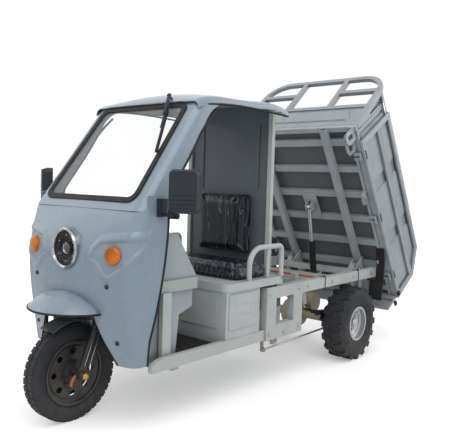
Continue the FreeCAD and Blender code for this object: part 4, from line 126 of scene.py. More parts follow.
class Wiring:
    """A node tree while a finish, the floor or the world is wired into it."""

    def __init__(self, tree: bpy.types.NodeTree, shader: str) -> None:
        """Start from the tree's own shader node."""
        self.nodes = tree.nodes
        self.links = tree.links
        self.shader = tree.nodes[shader]

    @cached_property
    def place(self) -> Socket:
        """The object's own coordinates."""
        return self.nodes.new("ShaderNodeTexCoord").outputs["Object"]

    def feed(self, node: bpy.types.Node, entry: str | int, value: object) -> None:
        """Link a socket to a node's input, or set a plain value there."""
        if isinstance(value, Socket):
            self.links.new(value, node.inputs[entry])
        else:
            node.inputs[entry].default_value = value

    def add(self, kind: str, **entries: object) -> bpy.types.Node:
        """Add a node and feed its inputs by name.

        Args:
            kind: the node's type.
            **entries: a socket or a plain value for each input.

        Returns:
            The node.
        """
        node = self.nodes.new(kind)
        for entry, value in entries.items():
            self.feed(node, entry, value)
        return node

    def noise(self, scale: float, detail: float, twist: float = 0.0, place: Socket | None = None) -> Socket:
        """Add a noise texture and return its value."""
        return self.add("ShaderNodeTexNoise", Vector=place or self.place, Scale=scale, Detail=detail,
                        Distortion=twist).outputs["Fac"]

    def math(self, operation: str, first: object, second: object) -> Socket:
        """Combine two values and return the result."""
        node = self.nodes.new("ShaderNodeMath")
        node.operation = operation
        self.feed(node, 0, first)
        self.feed(node, 1, second)
        return node.outputs["Value"]

    def vector(self, operation: str, second: Point = (0.0, 0.0, 0.0)) -> Socket:
        """Measure the object's coordinates, against a fixed direction where the operation has one."""
        node = self.nodes.new("ShaderNodeVectorMath")
        node.operation = operation
        self.feed(node, 0, self.place)
        self.feed(node, 1, second)
        return node.outputs["Value"]

    def spread(self, value: Socket, low: float, high: float, start: float, end: float) -> Socket:
        """Map one range of values onto another, and return the result."""
        node = self.nodes.new("ShaderNodeMapRange")
        entries = {"Value": value, "From Min": low, "From Max": high, "To Min": start, "To Max": end}
        for entry, setting in entries.items():
            self.feed(node, entry, setting)
        return node.outputs["Result"]

    def ramp(self, value: Socket, low: float, high: float, start: Sequence[float], end: Sequence[float],
             back: float | None = None) -> Socket:
        """Map a value to a run of two colours, and back to the first where asked, and return it."""
        node = self.add("ShaderNodeValToRGB", Fac=value)
        for element, position, colour in zip(node.color_ramp.elements, (low, high), (start, end)):
            element.position = position
            element.color = (*colour, 1)
        if back is not None:
            node.color_ramp.elements.new(back).color = (*start, 1)
        return node.outputs["Color"]

    def mix(self, factor: Socket, first: Socket, second: Sequence[float]) -> Socket:
        """Mix a colour with a fixed one and return the result."""
        node = self.nodes.new("ShaderNodeMix")
        node.data_type = "RGBA"
        for entry, value in (("Factor", factor), ("A", first), ("B", (*second, 1))):
            self.feed(node, entry, value)
        return node.outputs["Result"]


class Grain(Enum):
    """The small relief that a finish carries."""
    PEEL = "orange peel of sprayed paint"
    BRUSHED = "fine lines of worked steel"
    HIDE = "pebbled vinyl"
    MOULDED = "fine spark-eroded plastic"
    RUBBER = "dusty rubber"
    CAST = "rough casting"
    CLEAR = "polished and clear"


@dataclass(frozen=True)
class Finish:
    """A procedural surface: colour with blotches and dust, roughness and relief."""
    name: str
    colour: Point
    roughness: float = 0.45
    metallic: float = 0.0
    coat: float = 0.0
    grain: Grain = Grain.PEEL
    relief: float = 0.06
    scale: float = 900.0
    blotch: float = 0.08
    dust: float = 0.0
    dust_top: float = 0.5
    alpha: float = 1.0
    glow: float = 0.0
    band: tuple[float, float] | None = None
    band_axis: Point = (0.0, 0.0, 1.0)
    band_colour: Point = (0.8, 0.82, 0.78)
    # Strength of the painted highlight streaks along the wrap's folds; any value above zero also raises the
    # folds as bumps.
    film_folds_and_highlight: float = 0.0
    # Strength of the painted shade that darkens corners, recesses and gaps between parts, from ambient
    # occlusion.
    painted_corner_shade: float = 0.0
    slot: str = ""

    def material(self) -> bpy.types.Material:
        """Build the node material, once per finish."""
        title = f"{self.name}_finish"
        found = bpy.data.materials.get(title)
        if found:
            return found
        material = bpy.data.materials.new(title)
        material.use_nodes = True
        wiring = Wiring(material.node_tree, "Principled BSDF")
        plain = self.metallic < 0.5 and self.grain is not Grain.CLEAR
        steady = {"Metallic": self.metallic, "Coat Weight": self.coat, "Coat Roughness": COAT_ROUGHNESS,
                  "Alpha": self.alpha, "IOR": RESIN_IOR,
                  "Specular IOR Level": PLAIN_SPECULAR if plain else CLEAR_SPECULAR}
        if self.glow:
            steady |= {"Emission Color": (*self.colour, 1), "Emission Strength": self.glow}
        for name, value in steady.items():
            wiring.feed(wiring.shader, name, value)
        wiring.feed(wiring.shader, "Base Color", self._colour(wiring))
        wiring.feed(wiring.shader, "Roughness", self._roughness(wiring))
        if self.relief:
            wiring.feed(wiring.shader, "Normal", self._relief(wiring))
        return material

    def _colour(self, wiring: Wiring) -> Socket:
        """Return the colour: blotches, a painted band where there is one, painted highlight streaks along
        folds, dust low down, painted shade in corners.
        """
        dark = [c * (1 - self.blotch) for c in self.colour]
        light = [min(1.0, c * (1 + self.blotch * 0.6)) for c in self.colour]
        colour = wiring.ramp(wiring.noise(7.0, 5.0), 0.35, 0.68, dark, light)
        if self.band:
            reach = wiring.vector("DOT_PRODUCT", self.band_axis)
            above = wiring.math("GREATER_THAN", reach, self.band[0])
            below = wiring.math("LESS_THAN", reach, self.band[1])
            colour = wiring.mix(wiring.math("MULTIPLY", above, below), colour, self.band_colour)
        # Painted highlight: thin light streaks along the wrap's folds stand in for their reflections.
        if self.film_folds_and_highlight:
            painted_highlight = wiring.ramp(self._crease(wiring), 0.49, 0.5, (0, 0, 0), (self.film_folds_and_highlight,) * 3, 0.51)
            colour = wiring.mix(painted_highlight, colour, FILM_HIGHLIGHT_COLOUR)
        if self.dust:
            height = wiring.add("ShaderNodeSeparateXYZ", Vector=wiring.place).outputs["Z"]
            low = wiring.spread(height, self.dust_top, 0.0, 0.0, self.dust)
            colour = wiring.mix(wiring.math("MULTIPLY", low, wiring.noise(22.0, 8.0)), colour, DUST_COLOUR)
        # Painted shade: ambient occlusion darkens corners, recesses and gaps between parts towards a third of
        # the colour.
        if self.painted_corner_shade:
            shelter = wiring.add("ShaderNodeAmbientOcclusion", Distance=CORNER_REACH)
            shelter.samples = 16
            corner_shade_mask = wiring.ramp(shelter.outputs["AO"], 0.3, 0.92, (self.painted_corner_shade,) * 3, (0, 0, 0))
            colour = wiring.mix(corner_shade_mask, colour, [c * 0.3 for c in self.colour])
        return colour

    def _crease(self, wiring: Wiring) -> Socket:
        """Return the long slanting folds of the clear wrap over new upholstery, for its bumps and its painted
        highlight streaks.
        """
        slant = wiring.add("ShaderNodeMapping", Vector=wiring.place, Rotation=(0.25, 0.45, 0.2),
                           Scale=(1.6, 1.0, 0.22))
        return wiring.noise(12.0, 1.0, 0.3, slant.outputs["Vector"])

    def _roughness(self, wiring: Wiring) -> Socket | float:
        """Return the roughness, which varies a little over all but clear surfaces."""
        if self.grain is Grain.CLEAR:
            return self.roughness
        low, high = self.roughness * 0.85, min(1.0, self.roughness * 1.2)
        return wiring.spread(wiring.noise(45.0, 6.0), 0.3, 0.7, low, high)

    def _relief(self, wiring: Wiring) -> Socket:
        """Return the normal of the finish's small relief."""
        bump = wiring.add("ShaderNodeBump", Strength=self.relief, Distance=0.001)
        source = wiring.place
        if self.grain is Grain.BRUSHED:
            source = wiring.add("ShaderNodeMapping", Vector=source, Scale=(0.05, 1.0, 1.0)).outputs["Vector"]
        if self.grain is Grain.HIDE:
            height = wiring.add("ShaderNodeTexVoronoi", Vector=source, Scale=self.scale).outputs["Distance"]
        else:
            height = wiring.noise(self.scale, 4.0, place=source)
        wiring.feed(bump, "Height", height)
        if self.film_folds_and_highlight:
            fold = wiring.add("ShaderNodeBump", Strength=0.55, Distance=0.006, Height=self._crease(wiring))
            wiring.feed(bump, "Normal", fold.outputs["Normal"])
        return bump.outputs["Normal"]


BED_UP: Point = (0.0, math.sin(TIP), math.cos(TIP))
FLOOR_LEVEL = on_bed(0, 0, 33).dot(Vector(BED_UP))

CAB_PAINT = Finish("cab_paint", (0.235, 0.30, 0.362), 0.24, 0.0, 0.4, relief=0.0, blotch=0.04, dust=0.2,
                   dust_top=0.6, painted_corner_shade=0.5)
FRAME_PAINT = Finish("frame_paint", (0.45, 0.485, 0.478), 0.36, 0.0, 0.15, relief=0.01, blotch=0.07,
                     dust=0.4, dust_top=0.55, painted_corner_shade=0.55)
BED_PAINT = Finish("bed_paint", (0.33, 0.366, 0.392), 0.36, 0.0, 0.15, relief=0.01, blotch=0.09, dust=0.2,
                   dust_top=0.6, painted_corner_shade=0.75)
BED_FLOOR = Finish("bed_floor_paint", (0.37, 0.405, 0.43), 0.42, 0.0, 0.05, relief=0.01, blotch=0.1, painted_corner_shade=0.4,
                   band=(FLOOR_LEVEL, 9.0), band_axis=BED_UP, band_colour=(0.118, 0.126, 0.137))
# Painted shade: the rear wall is the cab's grey-blue paint darkened to about half, for the wall in the cab's
# shadow.
SHADED_WALL_PAINT = Finish("wall_paint", (0.118, 0.136, 0.155), 0.42, 0.0, 0.1, relief=0.01, blotch=0.06, painted_corner_shade=0.4)
BOX_PAINT = Finish("seat_box_paint", (0.46, 0.49, 0.495), 0.4, 0.0, 0.08, relief=0.01, blotch=0.07,
                   dust=0.3, dust_top=0.6, painted_corner_shade=0.5,
                   slot="frame_paint")
GUARD_GREY = Finish("mudguard_grey", (0.16, 0.17, 0.18), 0.32, 0.6, 0.2, relief=0.04, dust=0.2)
BLACK_STEEL = Finish("black_steel", (0.014, 0.014, 0.016), 0.32, 0.0, 0.15, dust=0.3, dust_top=0.5)
AXLE_PAINT = Finish("axle_paint", (0.016, 0.016, 0.018), 0.4, dust=0.3, band=(-0.24, 0.24),
                    band_axis=(1.0, 0.0, 0.0),
                    band_colour=(0.40, 0.34, 0.23))
BEIGE_STEEL = Finish("beige_steel", (0.42, 0.36, 0.25), 0.42, 0.1, dust=0.4)
BARE_STEEL = Finish("bare_steel", (0.5, 0.51, 0.52), 0.3, 1.0, grain=Grain.BRUSHED, relief=0.1, scale=1400.0)
BRASS = Finish("brass", (0.62, 0.36, 0.12), 0.32, 1.0, grain=Grain.BRUSHED, relief=0.08, slot="bare_steel")
RUSTY = Finish("brake_arm_paint", (0.45, 0.17, 0.05), 0.5, 0.2, grain=Grain.CAST, relief=0.2, scale=700.0,
               slot="beige_steel")
RIM_SILVER = Finish("rim_silver", (0.50, 0.52, 0.53), 0.34, 0.8, 0.2, relief=0.04, dust=0.3)
TYRE = Finish("tyre_rubber", (0.021, 0.023, 0.029), 0.62, grain=Grain.RUBBER, relief=0.2, scale=320.0,
              blotch=0.2, dust=0.14, dust_top=0.4)
RUBBER = Finish("black_rubber", (0.011, 0.011, 0.012), 0.55, grain=Grain.RUBBER, relief=0.12, scale=500.0,
                blotch=0.15)
GLASS = Finish("clear_glass", (0.86, 0.90, 0.90), 0.03, grain=Grain.CLEAR, relief=0.0, blotch=0.02,
               alpha=0.09)
CHROME = Finish("lamp_chrome", (0.42, 0.44, 0.46), 0.14, 1.0, grain=Grain.CLEAR, relief=0.0, blotch=0.02)
LAMP_BLACK = Finish("lamp_black", (0.010, 0.010, 0.012), 0.34, coat=0.1, relief=0.02)
LAMP_GLASS = Finish("lamp_glass", (0.012, 0.014, 0.016), 0.05, grain=Grain.CLEAR, relief=0.0, alpha=0.10)
LENS_GREY = Finish("projector_grey", (0.10, 0.11, 0.12), 0.06, coat=0.8, grain=Grain.CLEAR, relief=0.0,
                   slot="lamp_black")
AMBER = Finish("amber_lens", (0.60, 0.15, 0.004), 0.14, coat=0.15, grain=Grain.HIDE, relief=0.9, scale=95.0,
               blotch=0.45, glow=0.05)
RED = Finish("red_lens", (0.5, 0.012, 0.012), 0.12, coat=0.8, relief=0.02, glow=0.04)
CONSOLE = Finish("console_plastic", (0.35, 0.395, 0.43), 0.46, grain=Grain.MOULDED, relief=0.12,
                 scale=1200.0, painted_corner_shade=0.5,
                 band=(0.688, 0.752), band_colour=(0.37, 0.42, 0.40))
BLACK_PLASTIC = Finish("black_plastic", (0.020, 0.024, 0.033), 0.42, grain=Grain.MOULDED, relief=0.1,
                       scale=1300.0)
VINYL = Finish("seat_vinyl", (0.008, 0.0115, 0.020), 0.24, coat=0.15, grain=Grain.HIDE, relief=0.2,
               scale=420.0, film_folds_and_highlight=0.3)
BATTERY = Finish("battery_case", (0.02, 0.16, 0.15), 0.3, coat=0.3, relief=0.03, band=(0.3, 0.455),
                 band_colour=(0.55, 0.62, 0.66))
CABLE = Finish("cable_sheath", (0.55, 0.09, 0.02), 0.5, grain=Grain.RUBBER, relief=0.05)
MIRROR = Finish("mirror_glass", (0.85, 0.87, 0.88), 0.02, 1.0, grain=Grain.CLEAR, relief=0.0, blotch=0.01,
                slot="lamp_chrome")

NODE_FINISHES: dict[Finish, tuple[str, ...]] = {
    CAB_PAINT: ("front_fascia", "cab_roof", "nose_visor"),
    FRAME_PAINT: ("chassis_frame", "side_sills", "armrest_rails", "cab_posts", "cab_floor"),
    BED_PAINT: ("bed_headboard", "bed_side_left", "bed_side_right", "tailgate"),
    BED_FLOOR: ("bed_frame",),
    SHADED_WALL_PAINT: ("cab_rear_wall",),
    BOX_PAINT: ("seat_box",),
    GUARD_GREY: ("front_mudguard",),
    BLACK_STEEL: ("front_frame", "steering_fork", "handlebar", "fork_sliders", "front_rim", "leaf_springs",
                  "spring_clamps", "ram_barrel", "front_brake_plate"),
    AXLE_PAINT: ("rear_axle",),
    BEIGE_STEEL: ("brake_shaft", "brake_pedal"),
    BARE_STEEL: ("hinge_pins", "front_axle", "brake_rods", "rear_dampers", "ram_rod", "latch_left",
                 "latch_right"),
    RIM_SILVER: ("rear_rim_left", "rear_rim_right"),
    TYRE: ("front_tyre", "rear_tyre_left", "rear_tyre_right"),
    RUBBER: ("windshield_gasket", "floor_mat", "left_grip", "throttle_grip", "rear_mudguards"),
    GLASS: ("windshield_glass",),
    LAMP_GLASS: ("headlight_lens",),
    CHROME: ("headlight_ring",),
    LAMP_BLACK: ("headlight_bowl",),
    AMBER: ("indicator_lenses",),
    RED: ("tail_lamps",),
    CONSOLE: ("front_console",),
    BLACK_PLASTIC: ("mirror_brackets", "mirror_left", "mirror_right", "wiper_arm"),
    VINYL: ("seat_cushion", "seat_backrest"),
    BATTERY: ("battery_pack",),
    CABLE: ("wiring_loom",),
}


class Bench:
    """Modelling moves made with Blender's operators."""

    @staticmethod
    def clear() -> None:
        """Deselect everything."""
        bpy.ops.object.select_all(action="DESELECT")

    @staticmethod
    def take(piece: Piece) -> Piece:
        """Make one object the only selected and active one."""
        Bench.clear()
        piece.select_set(True)
        bpy.context.view_layer.objects.active = piece
        return piece

    @staticmethod
    def named(name: str) -> Piece:
        """Name the object that an operator just added and set its place in its mesh."""
        piece = bpy.context.active_object
        piece.name = name
        piece.data.name = name
        bpy.ops.object.transform_apply(location=True, rotation=True, scale=True)
        return piece

    @staticmethod
    def block(name: str, low: Vector, high: Vector) -> Piece:
        """Add a block between two corners.

        Args:
            name: the piece's name.
            low: one corner.
            high: the opposite corner.

        Returns:
            The new object.
        """
        Bench.clear()
        bpy.ops.mesh.primitive_cube_add(size=1.0, location=(low + high) / 2)
        bpy.context.active_object.scale = [abs(b - a) for a, b in zip(low, high)]
        return Bench.named(name)

    @staticmethod
    def drum(name: str, start: Vector, end: Vector, radius: float, sides: int = 32,
             tip: float | None = None) -> Piece:
        """Add a round or many-sided bar between two points.

        Args:
            name: the piece's name.
            start: middle of the first end.
            end: middle of the last end.
            radius: radius at the start.
            sides: number of flats.
            tip: radius at the end, the same as at the start if left out.

        Returns:
            The new object.
        """
        Bench.clear()
        run = end - start
        turn = run.to_track_quat("Z", "Y").to_euler()
        bpy.ops.mesh.primitive_cone_add(vertices=sides, radius1=radius,
                                        radius2=radius if tip is None else tip,
                                        depth=run.length, location=(start + end) / 2, rotation=turn)
        return Bench.named(name)

    @staticmethod
    def ball(name: str, centre: Vector, radii: Point) -> Piece:
        """Add an ellipsoid."""
        Bench.clear()
        bpy.ops.mesh.primitive_uv_sphere_add(segments=32, ring_count=16, radius=1.0, location=centre)
        bpy.context.active_object.scale = radii
        return Bench.named(name)

    @staticmethod
    def sheet(name: str, across: int, along: int, place: Callable[[float, float], Sequence[float]]) -> Piece:
        """Add a grid and place each of its points by its two shares.

        Args:
            name: the piece's name.
            across: number of cells one way.
            along: number of cells the other way.
            place: the point for a pair of shares from 0 to 1.

        Returns:
            The new object.
        """
        Bench.clear()
        bpy.ops.mesh.primitive_grid_add(x_subdivisions=across, y_subdivisions=along, size=1.0)
        piece = Bench.named(name)
        for vertex in piece.data.vertices:
            vertex.co = place(vertex.co.x + 0.5, vertex.co.y + 0.5)
        return piece

    @staticmethod
    def taper(piece: Piece, test: Test, size: Point) -> Piece:
        """Resize the faces that pass a test about their middle."""
        with Bench.editing(piece):
            Bench.pick(piece, test)
            bpy.ops.transform.resize(value=size)
        return piece

    @staticmethod
    def tube(name: str, points: Sequence[Vector], radius: float, closed: bool = False, smooth: bool = True,
             sides: int = 3) -> Piece:
        """Add a tube along a line of points.

        Args:
            name: the piece's name.
            points: the line's points.
            radius: the tube's radius.
            closed: whether the line closes on itself.
            smooth: whether the line is a smooth curve through the points' control net.
            sides: half the number of sides, less one.

        Returns:
            The new object, as a mesh.
        """
        Bench.clear()
        curve = bpy.data.curves.new(name, "CURVE")
        curve.dimensions = "3D"
        curve.bevel_depth = radius
        curve.bevel_resolution = sides
        curve.use_fill_caps = not closed
        line = curve.splines.new("NURBS" if smooth else "POLY")
        line.points.add(len(points) - 1)
        for knot, point in zip(line.points, points):
            knot.co = (*point, 1)
        if smooth:
            line.order_u = 3
            line.use_endpoint_u = not closed
            line.resolution_u = 6
        line.use_cyclic_u = closed
        piece = bpy.data.objects.new(name, curve)
        bpy.context.collection.objects.link(piece)
        Bench.take(piece)
        bpy.ops.object.convert(target="MESH")
        return bpy.context.active_object

    @staticmethod
    @contextmanager
    def editing(piece: Piece) -> Iterator[None]:
        """Work on a piece in edit mode."""
        Bench.take(piece)
        bpy.ops.object.mode_set(mode="EDIT")
        yield
        bpy.ops.object.mode_set(mode="OBJECT")

    @staticmethod
    def pick(piece: Piece, test: Test) -> None:
        """Select the faces whose middle and normal pass a test; the piece is in edit mode."""
        bpy.ops.mesh.select_mode(type="FACE")
        bpy.ops.mesh.select_all(action="DESELECT")
        mesh = bmesh.from_edit_mesh(piece.data)
        for face in mesh.faces:
            if test(face.calc_center_median(), face.normal):
                face.select_set(True)
        bmesh.update_edit_mesh(piece.data)

    @staticmethod
    def soften(piece: Piece, width: float, segments: int = 3) -> Piece:
        """Round every edge sharper than 30 degrees with a bevel."""
        return Bench.modify(piece, "BEVEL", width=width, segments=segments, limit_method="ANGLE",
                            angle_limit=math.radians(30))

    @staticmethod
    def step_in(piece: Piece, test: Test, inset: float, depth: float) -> Piece:
        """Inset the faces that pass a test and push them in, or out where the depth is negative.

        Args:
            piece: the object.
            test: the choice of faces by middle and normal.
            inset: width of the border left standing.
            depth: how far the middle goes in.

        Returns:
            The same object.
        """
        with Bench.editing(piece):
            Bench.pick(piece, test)
            bpy.ops.mesh.inset(thickness=inset, depth=-depth)
        return piece

    @staticmethod
    def cut(piece: Piece, spot: Vector, normal: Point, outer: bool = True) -> Piece:
        """Cut a piece at a plane and close the cut.

        Args:
            piece: the object.
            spot: a point of the plane.
            normal: the plane's direction.
            outer: whether the part beyond the plane goes, else the part before it.

        Returns:
            The same object.
        """
        with Bench.editing(piece):
            bpy.ops.mesh.select_all(action="SELECT")
            bpy.ops.mesh.bisect(plane_co=spot, plane_no=normal, use_fill=True, clear_outer=outer,
                                clear_inner=not outer)
        return piece

    @staticmethod
    def terrace(piece: Piece, test: Test, steps: Sequence[Spot]) -> Piece:
        """Step one face inwards several times, each step a border and a drop, in metres."""
        with Bench.editing(piece):
            Bench.pick(piece, test)
            for inset, depth in steps:
                bpy.ops.mesh.inset(thickness=inset, depth=-depth)
        return piece

    @staticmethod
    def modify(piece: Piece, kind: str, **settings: object) -> Piece:
        """Add a modifier, set it and apply it.

        Args:
            piece: the object.
            kind: the modifier's type.
            **settings: its properties.

        Returns:
            The same object.
        """
        Bench.take(piece)
        modifier = piece.modifiers.new(kind.lower(), kind)
        for key, value in settings.items():
            setattr(modifier, key, value)
        bpy.ops.object.modifier_apply(modifier=modifier.name)
        return piece

    @staticmethod
    def turn(piece: Piece, angle: float, centre: Vector, axis: str) -> Piece:
        """Turn a piece's mesh about a point, in radians about a row axis."""
        about = Matrix.Translation(centre) @ Matrix.Rotation(angle, 4, axis) @ Matrix.Translation(-centre)
        piece.data.transform(about)
        return piece

    @staticmethod
    def flipped(piece: Piece, name: str) -> Piece:
        """Return a copy of a piece on the vehicle's other side."""
        copy = piece.copy()
        copy.data = piece.data.copy()
        copy.name = name
        copy.data.name = name
        bpy.context.collection.objects.link(copy)
        copy.data.transform(Matrix.Scale(-1, 4, Vector((1, 0, 0))))
        with Bench.editing(copy):
            bpy.ops.mesh.select_all(action="SELECT")
            bpy.ops.mesh.flip_normals()
        return copy

    @staticmethod
    def joined(name: str, parts: Sequence[Piece]) -> Piece:
        """Join several objects into one piece."""
        Bench.clear()
        for part in parts:
            part.select_set(True)
        bpy.context.view_layer.objects.active = parts[0]
        bpy.ops.object.join()
        piece = bpy.context.active_object
        piece.name = name
        piece.data.name = name
        return piece

    @staticmethod
    def pair(piece: Piece, body: str, finish: Finish, angle: float = 35.0) -> None:
        """Fit a piece of the left side and its twin on the right, on that side's body.

        Args:
            piece: the object, with left in its name.
            body: the left piece's moving body.
            finish: their surface.
            angle: edges sharper than this stay sharp, in degrees.
        """
        twin = Bench.flipped(piece, piece.name.replace("left", "right"))
        Bench.fit(piece, body, finish, angle)
        Bench.fit(twin, body.replace("left", "right"), finish, angle)

    @staticmethod
    def fit(piece: Piece, body: str, finish: Finish, angle: float = 35.0) -> Piece:
        """Give a piece its finish, smooth shading and the body it rides on.

        Args:
            piece: the object.
            body: the moving body's name.
            finish: its surface.
            angle: edges sharper than this stay sharp, in degrees.

        Returns:
            The same object.
        """
        Bench.take(piece)
        bpy.ops.object.shade_smooth_by_angle(angle=math.radians(angle))
        piece.data.materials.clear()
        piece.data.materials.append(finish.material())
        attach(piece, body)
        finish.slot or finish.name
        LOG.info("%s: %d faces on %s", piece.name, len(piece.data.polygons), body)
        return piece


@dataclass
class Fascia:
    """What dresses the blunt front panel: door flanks, bill, lamp surrounds, edge rubbers and plugs."""
    levels: tuple[float, ...] = (345.0, 600.0, 740.0, 893.0, 1000.0, 1110.0)
    halves: tuple[float, ...] = (434.0, 450.0, 455.0, 457.0, 456.0, 452.0)
    fronts: tuple[float, ...] = (-2090.0, -2121.0, -2131.0, -2130.0, -2103.0, -2040.0)
    crowns: tuple[float, ...] = (48.0, 46.0, 42.0, 44.0, 34.0, 8.0)
    corners: tuple[float, ...] = (66.0, 72.0, 75.0, 75.0, 74.0, 52.0)
    rears: tuple[float, ...] = (-1950.0, -1960.0, -1963.0, -1967.0, -1970.0, -1974.0)
    edge_radius: float = 7.0
    arch_line: tuple[Spot, ...] = ((330.0, 347.0), (300.0, 398.0), (250.0, 482.0), (215.0, 545.0),
                                   (196.0, 585.0))
    arch_radius: float = 4.5
    plug_places: tuple[Spot, ...] = ((299.0, 738.0), (340.0, 462.0))
    eye_corners: tuple[Spot, ...] = (
        (181.0, 865.0), (205.0, 916.0), (247.0, 955.0), (400.0, 976.0), (522.0, 986.0), (499.0, 937.0),
        (445.0, 880.0), (382.0, 826.0), (313.0, 781.0), (274.0, 799.0), (229.0, 847.0))
    eye_low: tuple[float, float] = (130.0, 732.0)
    eye_high: tuple[float, float] = (541.0, 1036.0)
    eye_lip: float = 11.0
    eye_bank: float = 20.0
    eye_fade: float = 46.0
    eye_sink: float = 1.2
    eye_floor: float = 0.6
    eye_slim: float = 0.55
    slim_from: float = 360.0
    slim_run: float = 175.0
    close_from: float = 512.0
    close_run: float = 24.0
    sweep_low: float = 427.0
    sweep_high: float = 1185.0
    sweep_start: float = -1957.0
    sweep_depth: float = 113.0
    sweep_power: float = 1.75
    flank_lap: float = 10.0
    flank_sink: float = 0.5
    pillar_line: tuple[Point, ...] = (
        (448.0, -1832.0, 1207.0), (445.0, -1764.0, 1300.0), (441.0, -1670.0, 1430.0), (437.0, -1592.0,
                                                                                       1560.0),
        (434.0, -1500.0, 1640.0))
    bill_half: float = 252.0
    bill_reach: float = 203.0
    bill_back: float = -2102.0
    bill_edge: float = 598.0
    bill_rise: float = 82.0
    bill_power: float = 1.8
    bill_ridge: float = 7.0
    bill_corner: float = 0.92

    def level(self, values: Sequence[float], z: float) -> float:
        """Return a section value at a height, between the two sections next to it."""
        for index in range(len(self.levels) - 1):
            low, high = self.levels[index], self.levels[index + 1]
            if z <= high or index == len(self.levels) - 2:
                return values[index] + (values[index + 1] - values[index]) * (z - low) / (high - low)
        return values[-1]

    def face(self, x: float, z: float) -> float:
        """Return the panel's front face at a place, along the vehicle."""
        half, corner = self.level(self.halves, z), self.level(self.corners, z)
        front, crown = self.level(self.fronts, z), self.level(self.crowns, z)
        flank = half - corner
        if abs(x) <= flank:
            return front + crown * (x / flank) ** 2
        past = min(abs(x) - flank, corner)
        return front + crown + corner - math.sqrt(max(corner ** 2 - past ** 2, 0.0))

    def edge_rubbers(self) -> None:
        """Lay the black rubber along the door edges and the wheel arch."""
        points = [at(self.level(self.halves, z) - 2, self.door_edge(z), z) for z in range(345, 1186, 60)]
        points += [at(*place) for place in self.pillar_line]
        arch = [at(x, self.face(x, z) - 1, z) for x, z in self.arch_line]
        for name, line, radius in (("door_edge_left", points, self.edge_radius),
                                   ("arch_edge_left", arch, self.arch_radius)):
            Bench.pair(Bench.tube(name, line, radius / 1000), "vehicle", RUBBER, TUBE_ANGLE)

    def door_edge(self, z: float) -> float:
        """Return where the door's front edge runs along the vehicle at a height."""
        share = clamp((z - self.sweep_low) / (self.sweep_high - self.sweep_low))
        sweep = self.sweep_start + self.sweep_depth * (1 - (1 - share) ** self.sweep_power)
        return max(sweep, self.level(self.rears, z))

    def door_flanks(self) -> None:
        """Widen the panel's sides to the sweeping door edge, which runs up into the pillar."""
        left = Bench.sheet("door_flank_left", 6, 48, self.flank_point)
        Bench.pair(Bench.modify(left, "SOLIDIFY", thickness=0.004, offset=-1.0), "vehicle", CAB_PAINT)

    def flank_point(self, back: float, rise: float) -> Vector:
        """Place a point of the flank by its shares from the panel to the door edge and from foot to top."""
        z = self.sweep_low + (self.sweep_high - self.sweep_low) * rise
        inner = self.level(self.rears, z) - self.flank_lap
        return at(self.level(self.halves, z) - self.flank_sink, inner + (self.door_edge(z) - inner) * back, z)

    def bill_point(self, angle: float, share: float) -> Vector:
        """Place a point of the nose bill.

        Args:
            angle: the spoke, from the vehicle's left round to its right, in radians.
            share: how far along the spoke, from the panel to the bill's edge.

        Returns:
            The point in the shared frame.
        """
        reach = math.sin(angle) ** (2 / self.bill_power)
        across = math.copysign(abs(math.cos(angle)) ** (2 / self.bill_power), math.cos(angle))
        edge = Vector((self.bill_half * across, self.bill_back - self.bill_reach * reach, self.bill_edge))
        x, z = edge.x * 0.93, self.bill_edge + 2 + self.bill_rise * math.sin(angle) ** 1.2
        root = Vector((x, self.face(x, z) + 4, z))
        spot = root.lerp(edge, share)
        fold = min(abs(angle - self.bill_corner), abs(math.pi - angle - self.bill_corner))
        ridge = self.bill_ridge * max(0.0, 1 - fold / 0.3) * math.sin(math.pi * share ** 0.8)
        return at(spot.x, spot.y, root.z + (edge.z - root.z) * share ** 1.7 + ridge)

    def bill(self) -> None:
        """Loft the creased bill over the front wheel and lay the dark lip along its edge."""
        piece = Bench.sheet("nose_bill", 64, 14, lambda u, v: self.bill_point(math.pi * clamp(u), clamp(v)))
        Bench.modify(piece, "SOLIDIFY", thickness=0.005, offset=-1.0)
        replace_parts(Bench.fit(piece, "vehicle", CAB_PAINT), "nose_visor")
        points = [self.bill_point(math.pi * step / 24, 1.0) - Vector((0, 0, 0.003)) for step in range(25)]
        Bench.fit(Bench.tube("visor_lip", points, 0.0055), "vehicle", RUBBER, TUBE_ANGLE)

    def unrolled(self, run: float, z: float, lift: float) -> Vector:
        """Place a point of the panel measured along its skin.

        Args:
            run: distance from the middle line along the skin.
            z: height.
            lift: distance outward from the skin.

        Returns:
            The point in the shared frame.
        """
        half, corner = self.level(self.halves, z), self.level(self.corners, z)
        front, crown = self.level(self.fronts, z), self.level(self.crowns, z)
        flank = half - corner
        turn = min(max((run - flank) / corner, 0.0), math.pi / 2)
        past = max(run - flank - corner * math.pi / 2, 0.0)
        x = min(run, flank) + corner * math.sin(turn)
        y = front + crown * (min(run, flank) / flank) ** 2 + corner * (1 - math.cos(turn)) + past
        return at(x + lift * math.sin(turn), y - lift * math.cos(turn), z)

    @staticmethod
    def leaf_distance(spot: Vector, outline: Sequence[Vector]) -> float:
        """Return how far a place on the skin lies outside the leaf's outline, below zero inside it."""
        nearest = math.inf
        inside = False
        for start, end in zip(outline, [*outline[1:], outline[0]]):
            part = geometry.intersect_point_line(spot, start, end)[1]
            nearest = min(nearest, (start.lerp(end, clamp(part)) - spot).length)
            if (start.y > spot.y) != (end.y > spot.y):
                cross = start.x + (spot.y - start.y) / (end.y - start.y) * (end.x - start.x)
                inside = inside != (spot.x < cross)
        return -nearest if inside else nearest

